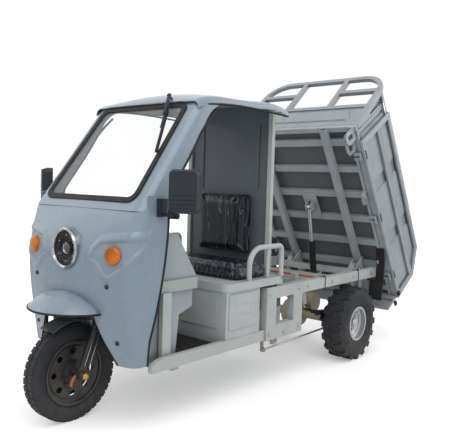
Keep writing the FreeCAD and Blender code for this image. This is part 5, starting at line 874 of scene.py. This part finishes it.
    def leaf_lift(self, run: float, distance: float) -> float:
        """Return the height of the pressing over the skin: a lip along the leaf that fades to its tip."""
        share = min(abs(distance) / (self.eye_bank if distance < 0 else self.eye_fade), 1.0)
        ease = share * share * (3 - 2 * share)
        lip = self.eye_lip * (1 - self.eye_slim * clamp((run - self.slim_from) / self.slim_run))
        lift = lip * (1 - ease) + (self.eye_floor if distance < 0 else -self.eye_sink) * ease
        close = clamp((run - self.close_from) / self.close_run)
        return lift * (1 - close) - self.eye_sink * close

    def lamp_surround(self) -> None:
        """Press the leaf that each side lamp sits in, with a soft swelling around it."""
        outline = [Vector(pair) for pair in self.eye_corners]
        low, high = Vector(self.eye_low), Vector(self.eye_high)
        size = high - low

        def spread(u: float, v: float) -> Point:
            """Place a point on the unrolled skin, with its distance from the leaf as the height."""
            spot = Vector((low.x + size.x * u, low.y + size.y * v))
            return (*spot, self.leaf_distance(spot, outline))

        piece = Bench.sheet("lamp_surround_left", 110, 82, spread)
        with Bench.editing(piece):
            Bench.pick(piece, lambda middle, normal: middle.z > self.eye_fade + 2)
            bpy.ops.mesh.delete(type="FACE")
        for vertex in piece.data.vertices:
            run, z, distance = vertex.co
            vertex.co = self.unrolled(run, z, self.leaf_lift(run, distance))
        Bench.modify(piece, "SOLIDIFY", thickness=0.001, offset=-1.0)
        Bench.pair(piece, "vehicle", CAB_PAINT, TUBE_ANGLE)

    def plugs(self) -> None:
        """Press the black plugs into the panel."""
        for number, (x, z) in enumerate(self.plug_places, 1):
            y = self.face(x, z)
            plug = Bench.drum(f"panel_plug_{number}_left", at(x, y + 3, z), at(x, y - 7, z), 0.0125, 24,
                              0.010)
            Bench.pair(Bench.soften(plug, 0.002, 2), "vehicle", BLACK_PLASTIC)

    def build(self) -> None:
        """Make all the trim of the front panel."""
        self.edge_rubbers()
        self.door_flanks()
        self.bill()
        self.lamp_surround()
        self.plugs()


@dataclass
class Headlamp:
    """The round lamp's inside: terraced reflector, small lamps, projector and its thick lens."""
    z: float = 902.0
    front: float = -2140.0
    terraces: tuple[Spot, ...] = ((0.004, 0.0005), (0.003, 0.008), (0.016, 0.001), (0.003, 0.008),
                                  (0.010, 0.001),
                                  (0.003, 0.006))
    spots: int = 6
    spot_circle: float = 0.067

    def round(self, name: str, start: float, end: float, radius: float, sides: int,
              tip: float | None = None) -> Piece:
        """Add a round bar on the lamp's axis between two depths behind its front."""
        first, last = (at(0, self.front + depth, self.z) for depth in (start, end))
        return Bench.drum(name, first, last, radius, sides, tip)

    def build(self) -> None:
        """Make the reflector, the ring of small lamps, the projector and its lens."""
        reflector = self.round("headlamp_reflector", 0.6, 38, 0.083, 56)
        Bench.terrace(reflector, facing(1, -1), self.terraces)
        Bench.fit(Bench.soften(reflector, 0.0008, 2), "vehicle", LAMP_BLACK)
        parts = []
        for number in range(self.spots):
            turn = math.tau * (number + 0.5) / self.spots
            base = at(0, self.front + 10,
                      self.z) + Vector((math.cos(turn), 0, math.sin(turn))) * self.spot_circle
            back, front = base + Vector((0, 0.002, 0)), base - Vector((0, 0.003, 0))
            spot = Bench.drum("lamp_spot", back, front, 0.0065, 20, 0.005)
            Bench.step_in(spot, facing(1, -1), 0.0012, 0.001)
            parts.append(Bench.soften(spot, 0.0005, 2))
        Bench.fit(Bench.joined("headlamp_spots", parts), "vehicle", CHROME)
        barrel = self.round("projector_barrel", 27, 9, 0.033, 48, 0.031)
        Bench.step_in(barrel, facing(1, -1), 0.004, 0.006)
        Bench.fit(Bench.soften(barrel, 0.0012, 2), "vehicle", CHROME)
        lens = Bench.ball("projector_lens", at(0, self.front + 15, self.z), (0.026, 0.008, 0.026))
        Bench.cut(lens, at(0, self.front + 15, self.z), (0, 1, 0))
        Bench.fit(lens, "vehicle", LENS_GREY)


@dataclass
class Windscreen:
    """The wiper's cap, cover, blade and rubber, and the seam under the glass."""
    pivot: Point = (198.0, -1596.0, 1706.0)
    glass_run: float = 396.0
    glass_rise: float = 533.0
    parked: float = 20.0

    def build(self) -> None:
        """Dress the wiper and lay the seam."""
        out = Vector((0, -self.glass_rise, self.glass_run)).normalized()
        base = at(*self.pivot)
        cap = Bench.drum("wiper_cap", base + out * 0.028, base + out * 0.043, 0.012, 24, 0.009)
        Bench.fit(Bench.soften(cap, 0.002, 2), "wiper", BLACK_PLASTIC)
        up = Vector((0, self.glass_run, self.glass_rise)).normalized()
        turn = math.radians(self.parked)
        down = up * -math.cos(turn) + Vector((1, 0, 0)) * math.sin(turn)
        across = out.cross(down)
        frame_of_arm = Matrix((across, down, out)).transposed().to_4x4()
        bars = (("wiper_rubber", 0.002, 0.0095, 0.25, 0.16, 0.0045, RUBBER),
                ("wiper_blade", 0.0065, 0.0195, 0.25, 0.165, 0.005, BLACK_PLASTIC),
                ("wiper_cover", 0.011, 0.0335, 0.065, 0.08, 0.006, BLACK_PLASTIC))
        for name, width, lift, place, reach, height, finish in bars:
            bar = Bench.block(name, Vector((-width, -reach, -height)), Vector((width, reach, height)))
            Bench.taper(bar, facing(2, 1), (0.6, 0.97, 1.0))
            bar.data.transform(frame_of_arm)
            bar.data.transform(Matrix.Translation(base + out * lift + down * place))
            Bench.fit(Bench.soften(bar, 0.0009, 2), "wiper", finish)
        seam = [at(x, -2040 + 8 * (x / 400) ** 2 - 1, 1110) for x in range(-390, 391, 60)]
        Bench.fit(Bench.tube("panel_seam", seam, 0.0016), "vehicle", CAB_PAINT, TUBE_ANGLE)


@dataclass
class Mirrors:
    """The reflecting plates in the two mirror housings."""
    pivot: Point = (528.0, -1904.0, 1103.5)
    width: float = 138.0
    height: float = 214.0
    reach: float = 18.0
    depth: float = 26.0
    yaw: float = 30.0

    def build(self) -> None:
        """Set a bevelled plate in each housing."""
        x, y, z = self.pivot
        plate = Bench.block("mirror_plate_left", at(x - self.reach + 12, y + self.depth + 0.2, z + 12),
                            at(x + self.width - 12, y + self.depth + 2.6, z + self.height - 12))
        with Bench.editing(plate):
            bpy.ops.mesh.select_all(action="SELECT")
            bpy.ops.mesh.bevel(offset=0.0009, segments=2)
        Bench.turn(plate, math.radians(self.yaw), at(*self.pivot), "Z")
        Bench.pair(plate, "left_mirror", MIRROR)


@dataclass
class Cockpit:
    """Handlebar levers and switch pods, the binnacle on the dash and the mat's tread."""
    bar_y: float = -1742.0
    bar_z: float = 1075.0
    mat_half: float = 392.0
    mat_front: float = -1684.0
    mat_rear: float = -1398.0
    mat_top: float = 347.0
    tread_pitch: float = 26.0
    lever_line: tuple[Point, ...] = ((196, -22, -2), (212, -52, -2), (240, -62, -3), (290, -58, -4),
                                     (336, -50, -4))
    pockets: tuple[Spot, ...] = ((-340, -110), (110, 340))
    pedal_gap: Spot = (-0.17, -1520.0)
    gap_half: Spot = (0.04, 0.042)

    def levers(self) -> None:
        """Bend a lever and a clamp for each hand."""
        y, z = self.bar_y + 52, self.bar_z
        line = [at(x, y + back, z + up) for x, back, up in self.lever_line]
        lever = Bench.tube("hand_lever_left", line, 0.006)
        knob = Bench.ball("hand_lever_knob", at(338, y - 50, z - 4), (0.009, 0.009, 0.009))
        lever = Bench.joined("hand_lever_left", [lever, knob])
        pod = Bench.block("switch_pod_left", at(176, y - 36, z - 20), at(214, y + 12, z + 18))
        Bench.step_in(pod, facing(1, 1), 0.006, -0.004)
        Bench.soften(pod, 0.004, 3)
        Bench.pair(lever, "steering", BARE_STEEL)
        Bench.pair(pod, "steering", BLACK_PLASTIC)

    def binnacle(self) -> None:
        """Shape the instrument hood with its dark window."""
        hood = Bench.block("instrument_hood", at(-120, -1938, 985.5), at(120, -1852, 1042))
        Bench.taper(hood, facing(2, 1), (0.86, 0.7, 1.0))
        Bench.step_in(hood, facing(1, 1, 0.5), 0.009, 0.006)
        Bench.soften(hood, 0.005, 3)
        Bench.fit(hood, "vehicle", CONSOLE)
        window = Bench.block("instrument_window", at(-92, -1862, 996), at(92, -1858, 1026))
        Bench.turn(window, math.radians(12), at(0, -1860, 1011), "X")
        Bench.soften(window, 0.001, 2)
        Bench.fit(window, "vehicle", LAMP_BLACK)

    def dash_panels(self) -> None:
        """Stand a raised pocket panel and a lock on the slanting dash."""
        slope = math.atan2(143, 221)
        for number, (x0, x1) in enumerate(self.pockets, 1):
            panel = Bench.block(f"dash_pocket_{number}", at(x0, -1662, 800), at(x1, -1652, 930))
            Bench.step_in(panel, facing(1, 1), 0.010, 0.006)
            Bench.soften(panel, 0.003, 3)
            Bench.turn(panel, slope, at(0, -1657, 872), "X")
            Bench.fit(panel, "vehicle", CONSOLE)

    def tread(self) -> None:
        """Raise the mat's diamonds: one is modelled and repeated in two runs."""
        half = self.tread_pitch / 2
        x, y = -self.mat_half + half, self.mat_front + half
        stud = Bench.drum("mat_tread", at(x, y, self.mat_top - 0.5), at(x, y, self.mat_top + 2.5), 0.0105,
                          4, 0.0075)
        across = int(2 * self.mat_half / self.tread_pitch)
        along = int((self.mat_rear - self.mat_front) / self.tread_pitch)
        pitch = self.tread_pitch / 1000
        for count, step in ((across, (pitch, 0, 0)), (along, (0, pitch, 0))):
            Bench.modify(stud, "ARRAY", count=count, use_relative_offset=False, use_constant_offset=True,
                         constant_offset_displace=step)
        gap_x, gap_y = self.pedal_gap[0], at(0, self.pedal_gap[1], 0).y
        wide, deep = self.gap_half
        with Bench.editing(stud):
            Bench.pick(stud, lambda middle,
                       normal: abs(middle.x - gap_x) < wide and abs(middle.y - gap_y) < deep)
            bpy.ops.mesh.select_linked()
            bpy.ops.mesh.delete(type="VERT")
        Bench.fit(stud, "vehicle", RUBBER)

    def box_panels(self) -> None:
        """Raise the pressed borders on the seat box's front and sides."""
        front = Bench.block("box_panel_front_left", at(110, -1385, 430), at(388, -1391, 622))
        Bench.step_in(front, facing(1, -1), 0.022, 0.0075)
        side = Bench.block("box_panel_side_left", at(454, -1362, 424), at(460, -1106, 626))
        Bench.step_in(side, facing(0, 1), 0.022, 0.0075)
        for piece in (front, side):
            Bench.pair(Bench.soften(piece, 0.0022, 3), "vehicle", BOX_PAINT)

    def build(self) -> None:
        """Make the driver's controls."""
        self.levers()
        self.binnacle()
        self.dash_panels()
        self.tread()
        self.box_panels()


@dataclass
class Seat:
    """The upholstered cushion and backrest, swelled by pressure and piped along their edges."""
    voxel: float = 0.006
    frames: int = 20
    pressure: float = 4.0
    cushion_low: Point = (-407.0, -1249.0, 691.5)
    cushion_high: Point = (407.0, -955.0, 770.0)
    back_low: Point = (-205.0, -930.0, 806.0)
    back_high: Point = (205.0, -864.0, 1188.0)
    piping: float = 0.0055
    piping_height: float = 712.0
    piping_inset: float = 4.0
    piping_turn: float = 22.0
    fold_height: float = 0.0016
    fold_width: float = 0.14

    def swell(self, piece: Piece, held: Callable[[Vector], bool], limit: float) -> None:
        """Puff a pad with pressure while its mounting face is held, and cap how far it moves.

        Args:
            piece: the pad's closed mesh.
            held: whether a point stays where it is.
            limit: the furthest that a point may move, in metres.
        """
        Bench.modify(piece, "REMESH", mode="VOXEL", voxel_size=self.voxel)
        rest = [vertex.co.copy() for vertex in piece.data.vertices]
        pinned = piece.vertex_groups.new(name="held")
        pinned.add([vertex.index for vertex in piece.data.vertices if held(vertex.co)], 1.0, "REPLACE")
        Bench.take(piece)
        cloth = piece.modifiers.new("swell", "CLOTH")
        cloth.settings.use_pressure = True
        cloth.settings.uniform_pressure_force = self.pressure
        cloth.settings.vertex_group_mass = "held"
        cloth.settings.effector_weights.gravity = 0.0
        scene = bpy.context.scene
        for number in range(1, self.frames + 1):
            scene.frame_set(number)
        bpy.ops.object.modifier_apply(modifier=cloth.name)
        scene.frame_set(1)
        for vertex, start in zip(piece.data.vertices, rest):
            move = vertex.co - start
            if move.length > limit:
                vertex.co = start + move * (limit / move.length)
        Bench.modify(piece, "SMOOTH", factor=0.5, iterations=4)

    def pad(self, name: str, low: Point, high: Point, crown_axis: int, crown_end: int, limit: float) -> Piece:
        """Shape one pad: a rounded block, swelled by pressure.

        Args:
            name: the piece's name.
            low: its lowest corner.
            high: its highest corner.
            crown_axis: the axis that the sitting face looks along.
            crown_end: 1 if that face is at the high end, -1 if at the low end.
            limit: the furthest that the swelling moves a point.

        Returns:
            The pad.
        """
        start, end = at(*low), at(*high)
        piece = Bench.block(name, start, end)
        with Bench.editing(piece):
            bpy.ops.mesh.select_all(action="SELECT")
            bpy.ops.mesh.bevel(offset=0.016, segments=4)
            bpy.ops.mesh.select_all(action="SELECT")
            bpy.ops.mesh.subdivide(number_cuts=4)
        mount = start[crown_axis] if crown_end > 0 else end[crown_axis]
        self.swell(piece, lambda point: abs(point[crown_axis] - mount) < 0.012, limit)
        return piece

    def wrinkle(self, piece: Piece, pull: Point) -> None:
        """Raise shallow folds on the cover.

        Args:
            piece: the pad.
            pull: how closely the folds follow each other along each axis, in folds per metre.
        """
        for vertex in piece.data.vertices:
            fold = abs(noise.noise(vertex.co * Vector(pull)))
            vertex.co += vertex.normal * (self.fold_height * max(0.0, 1 - fold / self.fold_width))

    def build(self) -> None:
        """Make the cushion, the backrest and their piping."""
        cushion = self.pad("cushion_pad", self.cushion_low, self.cushion_high, 2, 1, 0.016)
        back = self.pad("backrest_pad", self.back_low, self.back_high, 1, -1, 0.014)
        self.wrinkle(cushion, (34.0, 7.0, 24.0))
        self.wrinkle(back, (30.0, 24.0, 6.0))
        for piece, body, node in ((cushion, "cushion", "seat_cushion"), (back, "vehicle", "seat_backrest")):
            Bench.fit(piece, body, VINYL, 80)
            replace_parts(piece, node)
        (x0, y0, _), (x1, y1, _) = self.cushion_low, self.cushion_high
        edge, turn = self.piping_inset, self.piping_turn
        spots = ((x0 + turn, y0 + edge), (x1 - turn, y0 + edge), (x1 - edge, y0 + turn),
                 (x1 - edge, y1 - turn),
                 (x1 - turn, y1 - edge), (x0 + turn, y1 - edge), (x0 + edge, y1 - turn), (x0 + edge,
                                                                                          y0 + turn))
        loop = [at(x, y, self.piping_height) for x, y in spots]
        Bench.fit(Bench.tube("cushion_piping", loop, self.piping, closed=True), "cushion", VINYL, TUBE_ANGLE)


@dataclass
class Underframe:
    """Bolts, ties and terminals on the chassis and the battery."""
    outer: float = 470.0
    bolt_places: tuple[Spot, ...] = ((-990, 345), (-990, 590), (-665, 345), (-665, 590), (-828, 330),
                                     (-560, 594),
                                     (-250, 594), (60, 594), (330, 594))

    def bolts(self) -> None:
        """Set hex bolts along the rails: one is modelled and copied."""
        parts = []
        for y, z in self.bolt_places:
            base = at(self.outer - 0.5, y, z)
            head = Bench.drum("rail_bolt", base, at(self.outer + 7, y, z), 0.0105, 6)
            Bench.step_in(head, facing(0, 1), 0.002, -0.0006)
            washer = Bench.drum("rail_washer", base, at(self.outer + 1.8, y, z), 0.015, 24)
            parts += [Bench.soften(head, 0.0008, 2), Bench.soften(washer, 0.0005, 2)]
        Bench.pair(Bench.joined("rail_bolts_left", parts), "vehicle", BARE_STEEL)

    def ties(self) -> None:
        """Strap the two cable ties round the left rail."""
        parts = []
        for y in (-350.0, 130.0):
            loop = [at(417, y, 555), at(473, y, 555), at(473, y, 633), at(417, y, 633)]
            strap = Bench.tube("rail_tie", loop, 0.0028, closed=True, smooth=False)
            lock = Bench.block("rail_tie_lock", at(456, y - 6, 631), at(468, y + 6, 641))
            parts += [strap, Bench.soften(lock, 0.0015, 2)]
        Bench.fit(Bench.joined("rail_ties", parts), "vehicle", BLACK_PLASTIC)

    def terminals(self) -> None:
        """Cap the battery terminals and strap the cells down."""
        parts = []
        for x in (-287, -205, -122, -40, 40, 122, 205, 287):
            post = Bench.drum("cell_post", at(x, -940, 519), at(x, -940, 531), 0.012, 20, 0.009)
            parts.append(Bench.soften(post, 0.0015, 2))
        Bench.fit(Bench.joined("cell_posts", parts), "vehicle", BRASS)
        strap = Bench.block("cell_strap", at(-336, -842, 520), at(336, -808, 523.5))
        Bench.soften(strap, 0.001, 2)
        Bench.fit(strap, "vehicle", BLACK_PLASTIC)

    def build(self) -> None:
        """Make the small parts of the frame."""
        self.bolts()
        self.ties()
        self.terminals()


@dataclass
class Bed:
    """Fittings of the tipping bed: side frames, rivets, bumpers, loops, covers, lamp frames and flaps."""
    half: float = 545.0
    length: float = 1540.0
    height: float = 496.0
    border: float = 0.044
    rim_height: float = 22.0
    frame_corner: Spot = (118.0, 5.0)
    frame_slant: Spot = (173.0, 112.0)
    frame_root: float = 1.5
    lashing: tuple[Spot, ...] = ((34.0, -20.0), (34.0, -74.0), (60.0, -92.0), (150.0, -92.0), (176.0, -70.0),
                                 (176.0, -20.0), (150.0, 0.0), (60.0, 0.0))
    lashing_radius: float = 15.0

    def bumpers(self) -> None:
        """Fix the black rubber bumpers near the lower rear corners."""
        for number, (along, up) in enumerate(((1492.0, 12.0), (1528.0, -70.0)), 1):
            low = Vector((-0.008, -0.018, -0.014))
            bumper = Bench.block(f"bed_bumper_{number}_left", low, -low)
            Bench.step_in(bumper, facing(0, 1), 0.004, -0.003)
            Bench.soften(bumper, 0.003, 3)
            self.lay(bumper, self.half + 26, along, up)
            Bench.pair(bumper, "side_left" if up > 0 else "bed", RUBBER)

    def lay(self, piece: Piece, x: float, along: float, up: float) -> Piece:
        """Turn a piece made at the origin with the bed and set it at a place on it."""
        piece.data.transform(Matrix.Rotation(-TIP, 4, "X"))
        piece.data.transform(Matrix.Translation(on_bed(x, along, up)))
        return piece

    def rivets(self) -> None:
        """Set a row of rivets along each side's top rail."""
        parts = []
        for number in range(11):
            along = 150 + number * 118
            place = on_bed(self.half + 22.3, along, self.height - 20)
            rivet = Bench.ball("side_rivet", place, (0.0028, 0.006, 0.006))
            parts.append(Bench.cut(rivet, on_bed(self.half + 21.7, along, 0), (1, 0, 0), False))
        Bench.pair(Bench.joined("side_rivets_left", parts), "side_left", BED_PAINT)

    def hinge_covers(self) -> None:
        """Cover each side hinge with a dark slotted plate."""
        parts = []
        for share in (0.15, 0.5, 0.85):
            low = Vector((-0.0012, -0.034, -0.007))
            plate = Bench.block("hinge_cover", low, -low)
            Bench.step_in(plate, facing(0, 1), 0.003, -0.001)
            Bench.soften(plate, 0.0006, 2)
            parts.append(self.lay(plate, self.half + 22.8, self.length * share, 22.0))
        Bench.pair(Bench.joined("hinge_covers_left", parts), "side_left", BLACK_PLASTIC)

    def side_frames(self) -> None:
        """Raise the pressed border around each drop side and the rail across its middle."""
        (front, base), (run, drop), root = self.frame_corner, self.frame_slant, self.half - self.frame_root
        border = Bench.block("side_frame_left", Vector((root, front, base)) / 1000,
                             Vector((self.half + self.rim_height, self.length - 1, self.height - 1)) / 1000)
        Bench.cut(border, Vector((0, self.length - run, self.height - 1)) / 1000, (0, drop, run))
        with Bench.editing(border):
            Bench.pick(border, lambda middle, normal: abs(normal.x) > 0.9)
            bpy.ops.mesh.inset(thickness=self.border)
            bpy.ops.mesh.bridge_edge_loops()
            bpy.ops.mesh.select_all(action="SELECT")
            bpy.ops.mesh.normals_make_consistent(inside=False)
        rail = Bench.block("side_rail", Vector((root, 150, 262)) / 1000,
                           Vector((self.half + self.rim_height - 2, self.length - 40, 316)) / 1000)
        Bench.step_in(rail, facing(0, 1), 0.014, 0.005)
        parts = [Bench.soften(border, 0.004, 3), Bench.soften(rail, 0.003, 3)]
        Bench.pair(self.settle(Bench.joined("side_frame_left", parts)), "side_left", BED_PAINT)

    def settle(self, piece: Piece) -> Piece:
        """Tip a piece that was drawn in the bed's own sizes, in metres, up with the bed."""
        origin = on_bed(0, 0, 0)
        piece.data.transform(Matrix.Translation(origin) @ Matrix.Rotation(-TIP, 4, "X"))
        return piece

    def loops(self) -> None:
        """Hang the lashing loop and the two stake brackets under each long edge."""
        ring = [on_bed(self.half - 47, along, up) for along, up in self.lashing]
        loop = Bench.tube("lashing_loop_left", ring, self.lashing_radius / 1000, True, False, 0)
        parts = []
        for along in (560.0, 1130.0):
            stake = Bench.block("stake_bracket", Vector((self.half - 74, along, -52)) / 1000,
                                Vector((self.half - 36, along + 66, 2)) / 1000)
            Bench.taper(stake, facing(2, -1), (0.45, 0.8, 1.0))
            Bench.step_in(stake, facing(0, 1, 0.7), 0.008, 0.004)
            parts.append(self.settle(Bench.soften(stake, 0.002, 2)))
        stakes = Bench.joined("stake_brackets_left", parts)
        for piece in (loop, stakes):
            Bench.pair(piece, "bed", BED_PAINT)

    def flaps(self) -> None:
        """Hang a ribbed rubber flap from each rear mudguard."""
        flap = Bench.block("mud_flap_left", Vector((-0.056, -0.075, -0.004)), Vector((0.056, 0.075, 0.004)))
        Bench.step_in(flap, lambda middle, normal: abs(normal.z) > 0.9, 0.008, -0.0015)
        Bench.soften(flap, 0.001, 2)
        flap.data.transform(Matrix.Rotation(math.radians(-42), 4, "X"))
        Bench.pair(self.lay(flap, 488.0, 612.0 - BED_FRONT, 516.0 - BED_BASE), "bed", RUBBER)

    def lamp_frames(self) -> None:
        """Frame each tail lamp and split off its amber end."""
        rim_half, amber_half = Vector((0.072, 0.004, 0.038)), Vector((0.018, 0.006, 0.027))
        rim = Bench.block("tail_lamp_frame_left", -rim_half, rim_half)
        Bench.step_in(rim, facing(1, 1), 0.006, 0.003)
        Bench.soften(rim, 0.002, 2)
        self.lay(rim, 420.0, self.length + 4.5, -77.5)
        amber = Bench.block("tail_lamp_amber_left", -amber_half, amber_half)
        Bench.step_in(amber, facing(1, 1), 0.004, -0.002)
        Bench.soften(amber, 0.0015, 2)
        self.lay(amber, 461.0, self.length + 14.5, -77.5)
        Bench.pair(rim, "bed", BLACK_PLASTIC)
        Bench.pair(amber, "bed", AMBER)

    def build(self) -> None:
        """Make the bed's fittings."""
        self.bumpers()
        self.side_frames()
        self.loops()
        self.rivets()
        self.hinge_covers()
        self.flaps()
        self.lamp_frames()


@dataclass
class Wheels:
    """Hub caps, valve stems, and the nut, brake arm, dust cover and guards at the front axle."""
    rear_hub: Point = (526.0, 0.0, 264.0)
    front_hub: Point = (0.0, -2090.0, 253.67)
    rake: float = 21.0
    brake_line: tuple[Point, ...] = ((70, -6, 4), (72, -26, -6), (70, -44, -30), (68, -46, -52))
    stem: Spot = (0.0045, 0.0035)

    def rear_trim(self) -> None:
        """Cap the rear hubs and fit their valves."""
        z = self.rear_hub[2]
        cap = Bench.ball("hub_cap_left", at(*self.rear_hub), (0.014, 0.03, 0.03))
        Bench.pair(Bench.cut(cap, at(*self.rear_hub), (1, 0, 0), False), "rear_wheel_left", RIM_SILVER)
        valve = Bench.drum("valve_left", at(500, 0, z + 84), at(528, 0, z + 80), self.stem[0], 16,
                           self.stem[1])
        Bench.pair(Bench.soften(valve, 0.001, 2), "rear_wheel_left", RUBBER)

    def front_trim(self, y: float, z: float) -> None:
        """Fit the front axle's nut, its brake arm, the hub's cover and the valve."""
        nut = Bench.drum("axle_nut", at(117, y, z), at(130, y, z), 0.019, 6)
        Bench.step_in(nut, facing(0, 1), 0.004, -0.003)
        Bench.fit(Bench.soften(nut, 0.0015, 2), "suspension", BRASS)
        line = [at(x, y + back, z + up) for x, back, up in self.brake_line]
        Bench.fit(Bench.tube("brake_arm", line, 0.0085), "suspension", RUSTY, TUBE_ANGLE)
        cover = Bench.drum("hub_dust_cover", at(-14, y, z), at(-22, y, z), 0.132, 56, 0.122)
        Bench.terrace(cover, facing(0, 1), ((0.012, 0.002), (0.03, 0.002)))
        Bench.fit(Bench.soften(cover, 0.001, 2), "front_wheel", BLACK_STEEL)
        valve = Bench.drum("valve_front", at(14, y, z + 118), at(34, y, z + 114), self.stem[0], 16,
                           self.stem[1])
        Bench.fit(Bench.soften(valve, 0.001, 2), "front_wheel", RUBBER)

    def build(self) -> None:
        """Dress the three wheels and the fork."""
        _, y, z = self.front_hub
        self.rear_trim()
        self.front_trim(y, z)
        self.fork_guards(y, z)

    def fork_guards(self, y: float, z: float) -> None:
        """Bolt a slotted guard with bright edges to each fork slider."""
        plate = Bench.block("fork_guard_left", at(108, y - 15, z + 42), at(113, y + 15, z + 236))
        Bench.step_in(plate, facing(0, 1), 0.006, 0.003)
        Bench.soften(plate, 0.0012, 2)
        rails = []
        for offset in (-15, 15):
            low, high = at(110, y + offset - 2, z + 44), at(115, y + offset + 2, z + 234)
            rails.append(Bench.soften(Bench.block("fork_guard_rail", low, high), 0.0012, 2))
        edges = Bench.joined("fork_guard_edges_left", rails)
        for piece, finish in ((plate, BLACK_STEEL), (edges, BARE_STEEL)):
            Bench.turn(piece, math.radians(-self.rake), at(0, y, z), "X")
            Bench.pair(piece, "suspension", finish)


@dataclass
class Roof:
    """The dark trim along the roof's edges and the hook under its rear corner."""
    stations: tuple[float, ...] = (-1560.0, -1440.0, -1200.0, -1000.0, -830.0)
    halves: tuple[float, ...] = (433.0, 436.0, 442.0, 444.0, 446.0)
    edges: tuple[float, ...] = (1674.0, 1690.0, 1696.0, 1690.0, 1684.0)
    hook_x: float = 425.0
    hook_line: tuple[Spot, ...] = ((-848, 1688), (-848, 1668), (-842, 1652), (-830, 1650), (-826, 1660))

    def build(self) -> None:
        """Lay the edge trim and hang the hook."""
        line = [at(half - 3, y, z) for half, y, z in zip(self.halves, self.stations, self.edges)]
        Bench.pair(Bench.tube("roof_trim_left", line, 0.006), "vehicle", RUBBER, TUBE_ANGLE)
        hook = Bench.tube("roof_hook", [at(self.hook_x, y, z) for y, z in self.hook_line], 0.0035)
        Bench.fit(hook, "vehicle", BARE_STEEL, TUBE_ANGLE)


@dataclass
class Studio:
    """The floor, the soft light and the camera."""
    camera: Point = (2580.2, -3918.6, 1255.7)
    yaw: float = 40.06
    pitch: float = -3.13
    roll: float = 1.77
    lens: float = 46.92
    shift: float = -0.004
    ambient: float = 0.55
    floor_reach: tuple[float, float] = (0.8, 4.5)
    floor_glow: tuple[float, float] = (0.3, 0.8)
    lamps: list[tuple[Point, Point, float, float]] = field(default_factory=lambda: [
        ((2.6, -3.4, 6.2), (0.0, -0.2, 0.8), 6.0, 235.0), ((-4.5, -3.4, 3.4), (0.0, -0.6, 0.9), 4.0, 26.0),
        ((3.0, 4.5, 3.8), (0.0, 0.6, 1.0), 4.0, 60.0)])

    def floor(self) -> None:
        """Lay the pale floor, which lightens to the backdrop's white away from the vehicle."""
        Bench.clear()
        bpy.ops.mesh.primitive_plane_add(size=80.0)
        floor = Bench.named("studio_floor")
        material = bpy.data.materials.new("studio_floor")
        material.use_nodes = True
        wiring = Wiring(material.node_tree, "Principled BSDF")
        rise = wiring.spread(wiring.vector("LENGTH"), *self.floor_reach, *self.floor_glow)
        seen = wiring.math("MULTIPLY", rise, wiring.add("ShaderNodeLightPath").outputs["Is Camera Ray"])
        entries = {"Base Color": (0.9, 0.9, 0.9, 1), "Roughness": 0.95, "Emission Color": (1, 1, 1, 1),
                   "Emission Strength": seen}
        for entry, value in entries.items():
            wiring.feed(wiring.shader, entry, value)
        floor.data.materials.append(material)

    def light(self) -> None:
        """Set the world and the large soft lamps."""
        scene = bpy.context.scene
        world = bpy.data.worlds.new("studio")
        scene.world = world
        world.use_nodes = True
        wiring = Wiring(world.node_tree, "Background")
        path = wiring.add("ShaderNodeLightPath").outputs
        seen = wiring.math("MAXIMUM", path["Is Camera Ray"], path["Is Glossy Ray"])
        seen = wiring.math("MAXIMUM", seen, path["Is Transmission Ray"])
        wiring.feed(wiring.shader, "Color", (1, 1, 1, 1))
        wiring.feed(wiring.shader, "Strength", wiring.spread(seen, 0.0, 1.0, self.ambient, 1.0))
        for number, (place, aim, size, power) in enumerate(self.lamps, 1):
            lamp = bpy.data.lights.new(f"soft_lamp_{number}", "AREA")
            lamp.size = size
            lamp.energy = power
            holder = bpy.data.objects.new(f"soft_lamp_{number}", lamp)
            holder.location = place
            holder.rotation_euler = (Vector(aim) - Vector(place)).to_track_quat("-Z", "Y").to_euler()
            bpy.context.collection.objects.link(holder)
        scene.view_settings.view_transform = "Standard"

    def shoot(self) -> None:
        """Place the camera as it stood for the photograph."""
        yaw, pitch, roll = (math.radians(a) for a in (self.yaw, self.pitch, self.roll))
        ahead = Vector((-math.sin(yaw) * math.cos(pitch), math.cos(yaw) * math.cos(pitch), math.sin(pitch)))
        right = Vector((math.cos(yaw), math.sin(yaw), 0))
        up = right.cross(ahead)
        side = right * math.cos(roll) + up * math.sin(roll)
        top = up * math.cos(roll) - right * math.sin(roll)
        data = bpy.data.cameras.new("photo_camera")
        data.lens = self.lens
        data.shift_y = self.shift
        camera = bpy.data.objects.new("photo_camera", data)
        facing_ahead = Matrix((side, top, -ahead)).transposed().to_4x4()
        camera.matrix_world = Matrix.Translation(at(*self.camera)) @ facing_ahead
        bpy.context.collection.objects.link(camera)
        bpy.context.scene.camera = camera

    def build(self) -> None:
        """Set up the whole studio."""
        self.floor()
        self.light()
        self.shoot()


def dress_nodes() -> None:
    """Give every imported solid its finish."""
    for finish, names in NODE_FINISHES.items():
        for name in names:
            materials = frame["nodes"][name].data.materials
            materials.clear()
            materials.append(finish.material())


def main() -> None:
    """Build the studio, the finishes and every sub-assembly in order."""
    logging.basicConfig(level=logging.INFO)
    Studio().build()
    dress_nodes()
    for assembly in (Fascia, Headlamp, Windscreen, Mirrors, Cockpit, Seat, Underframe, Bed, Wheels, Roof):
        assembly().build()


if __name__ == "__main__":
    main()
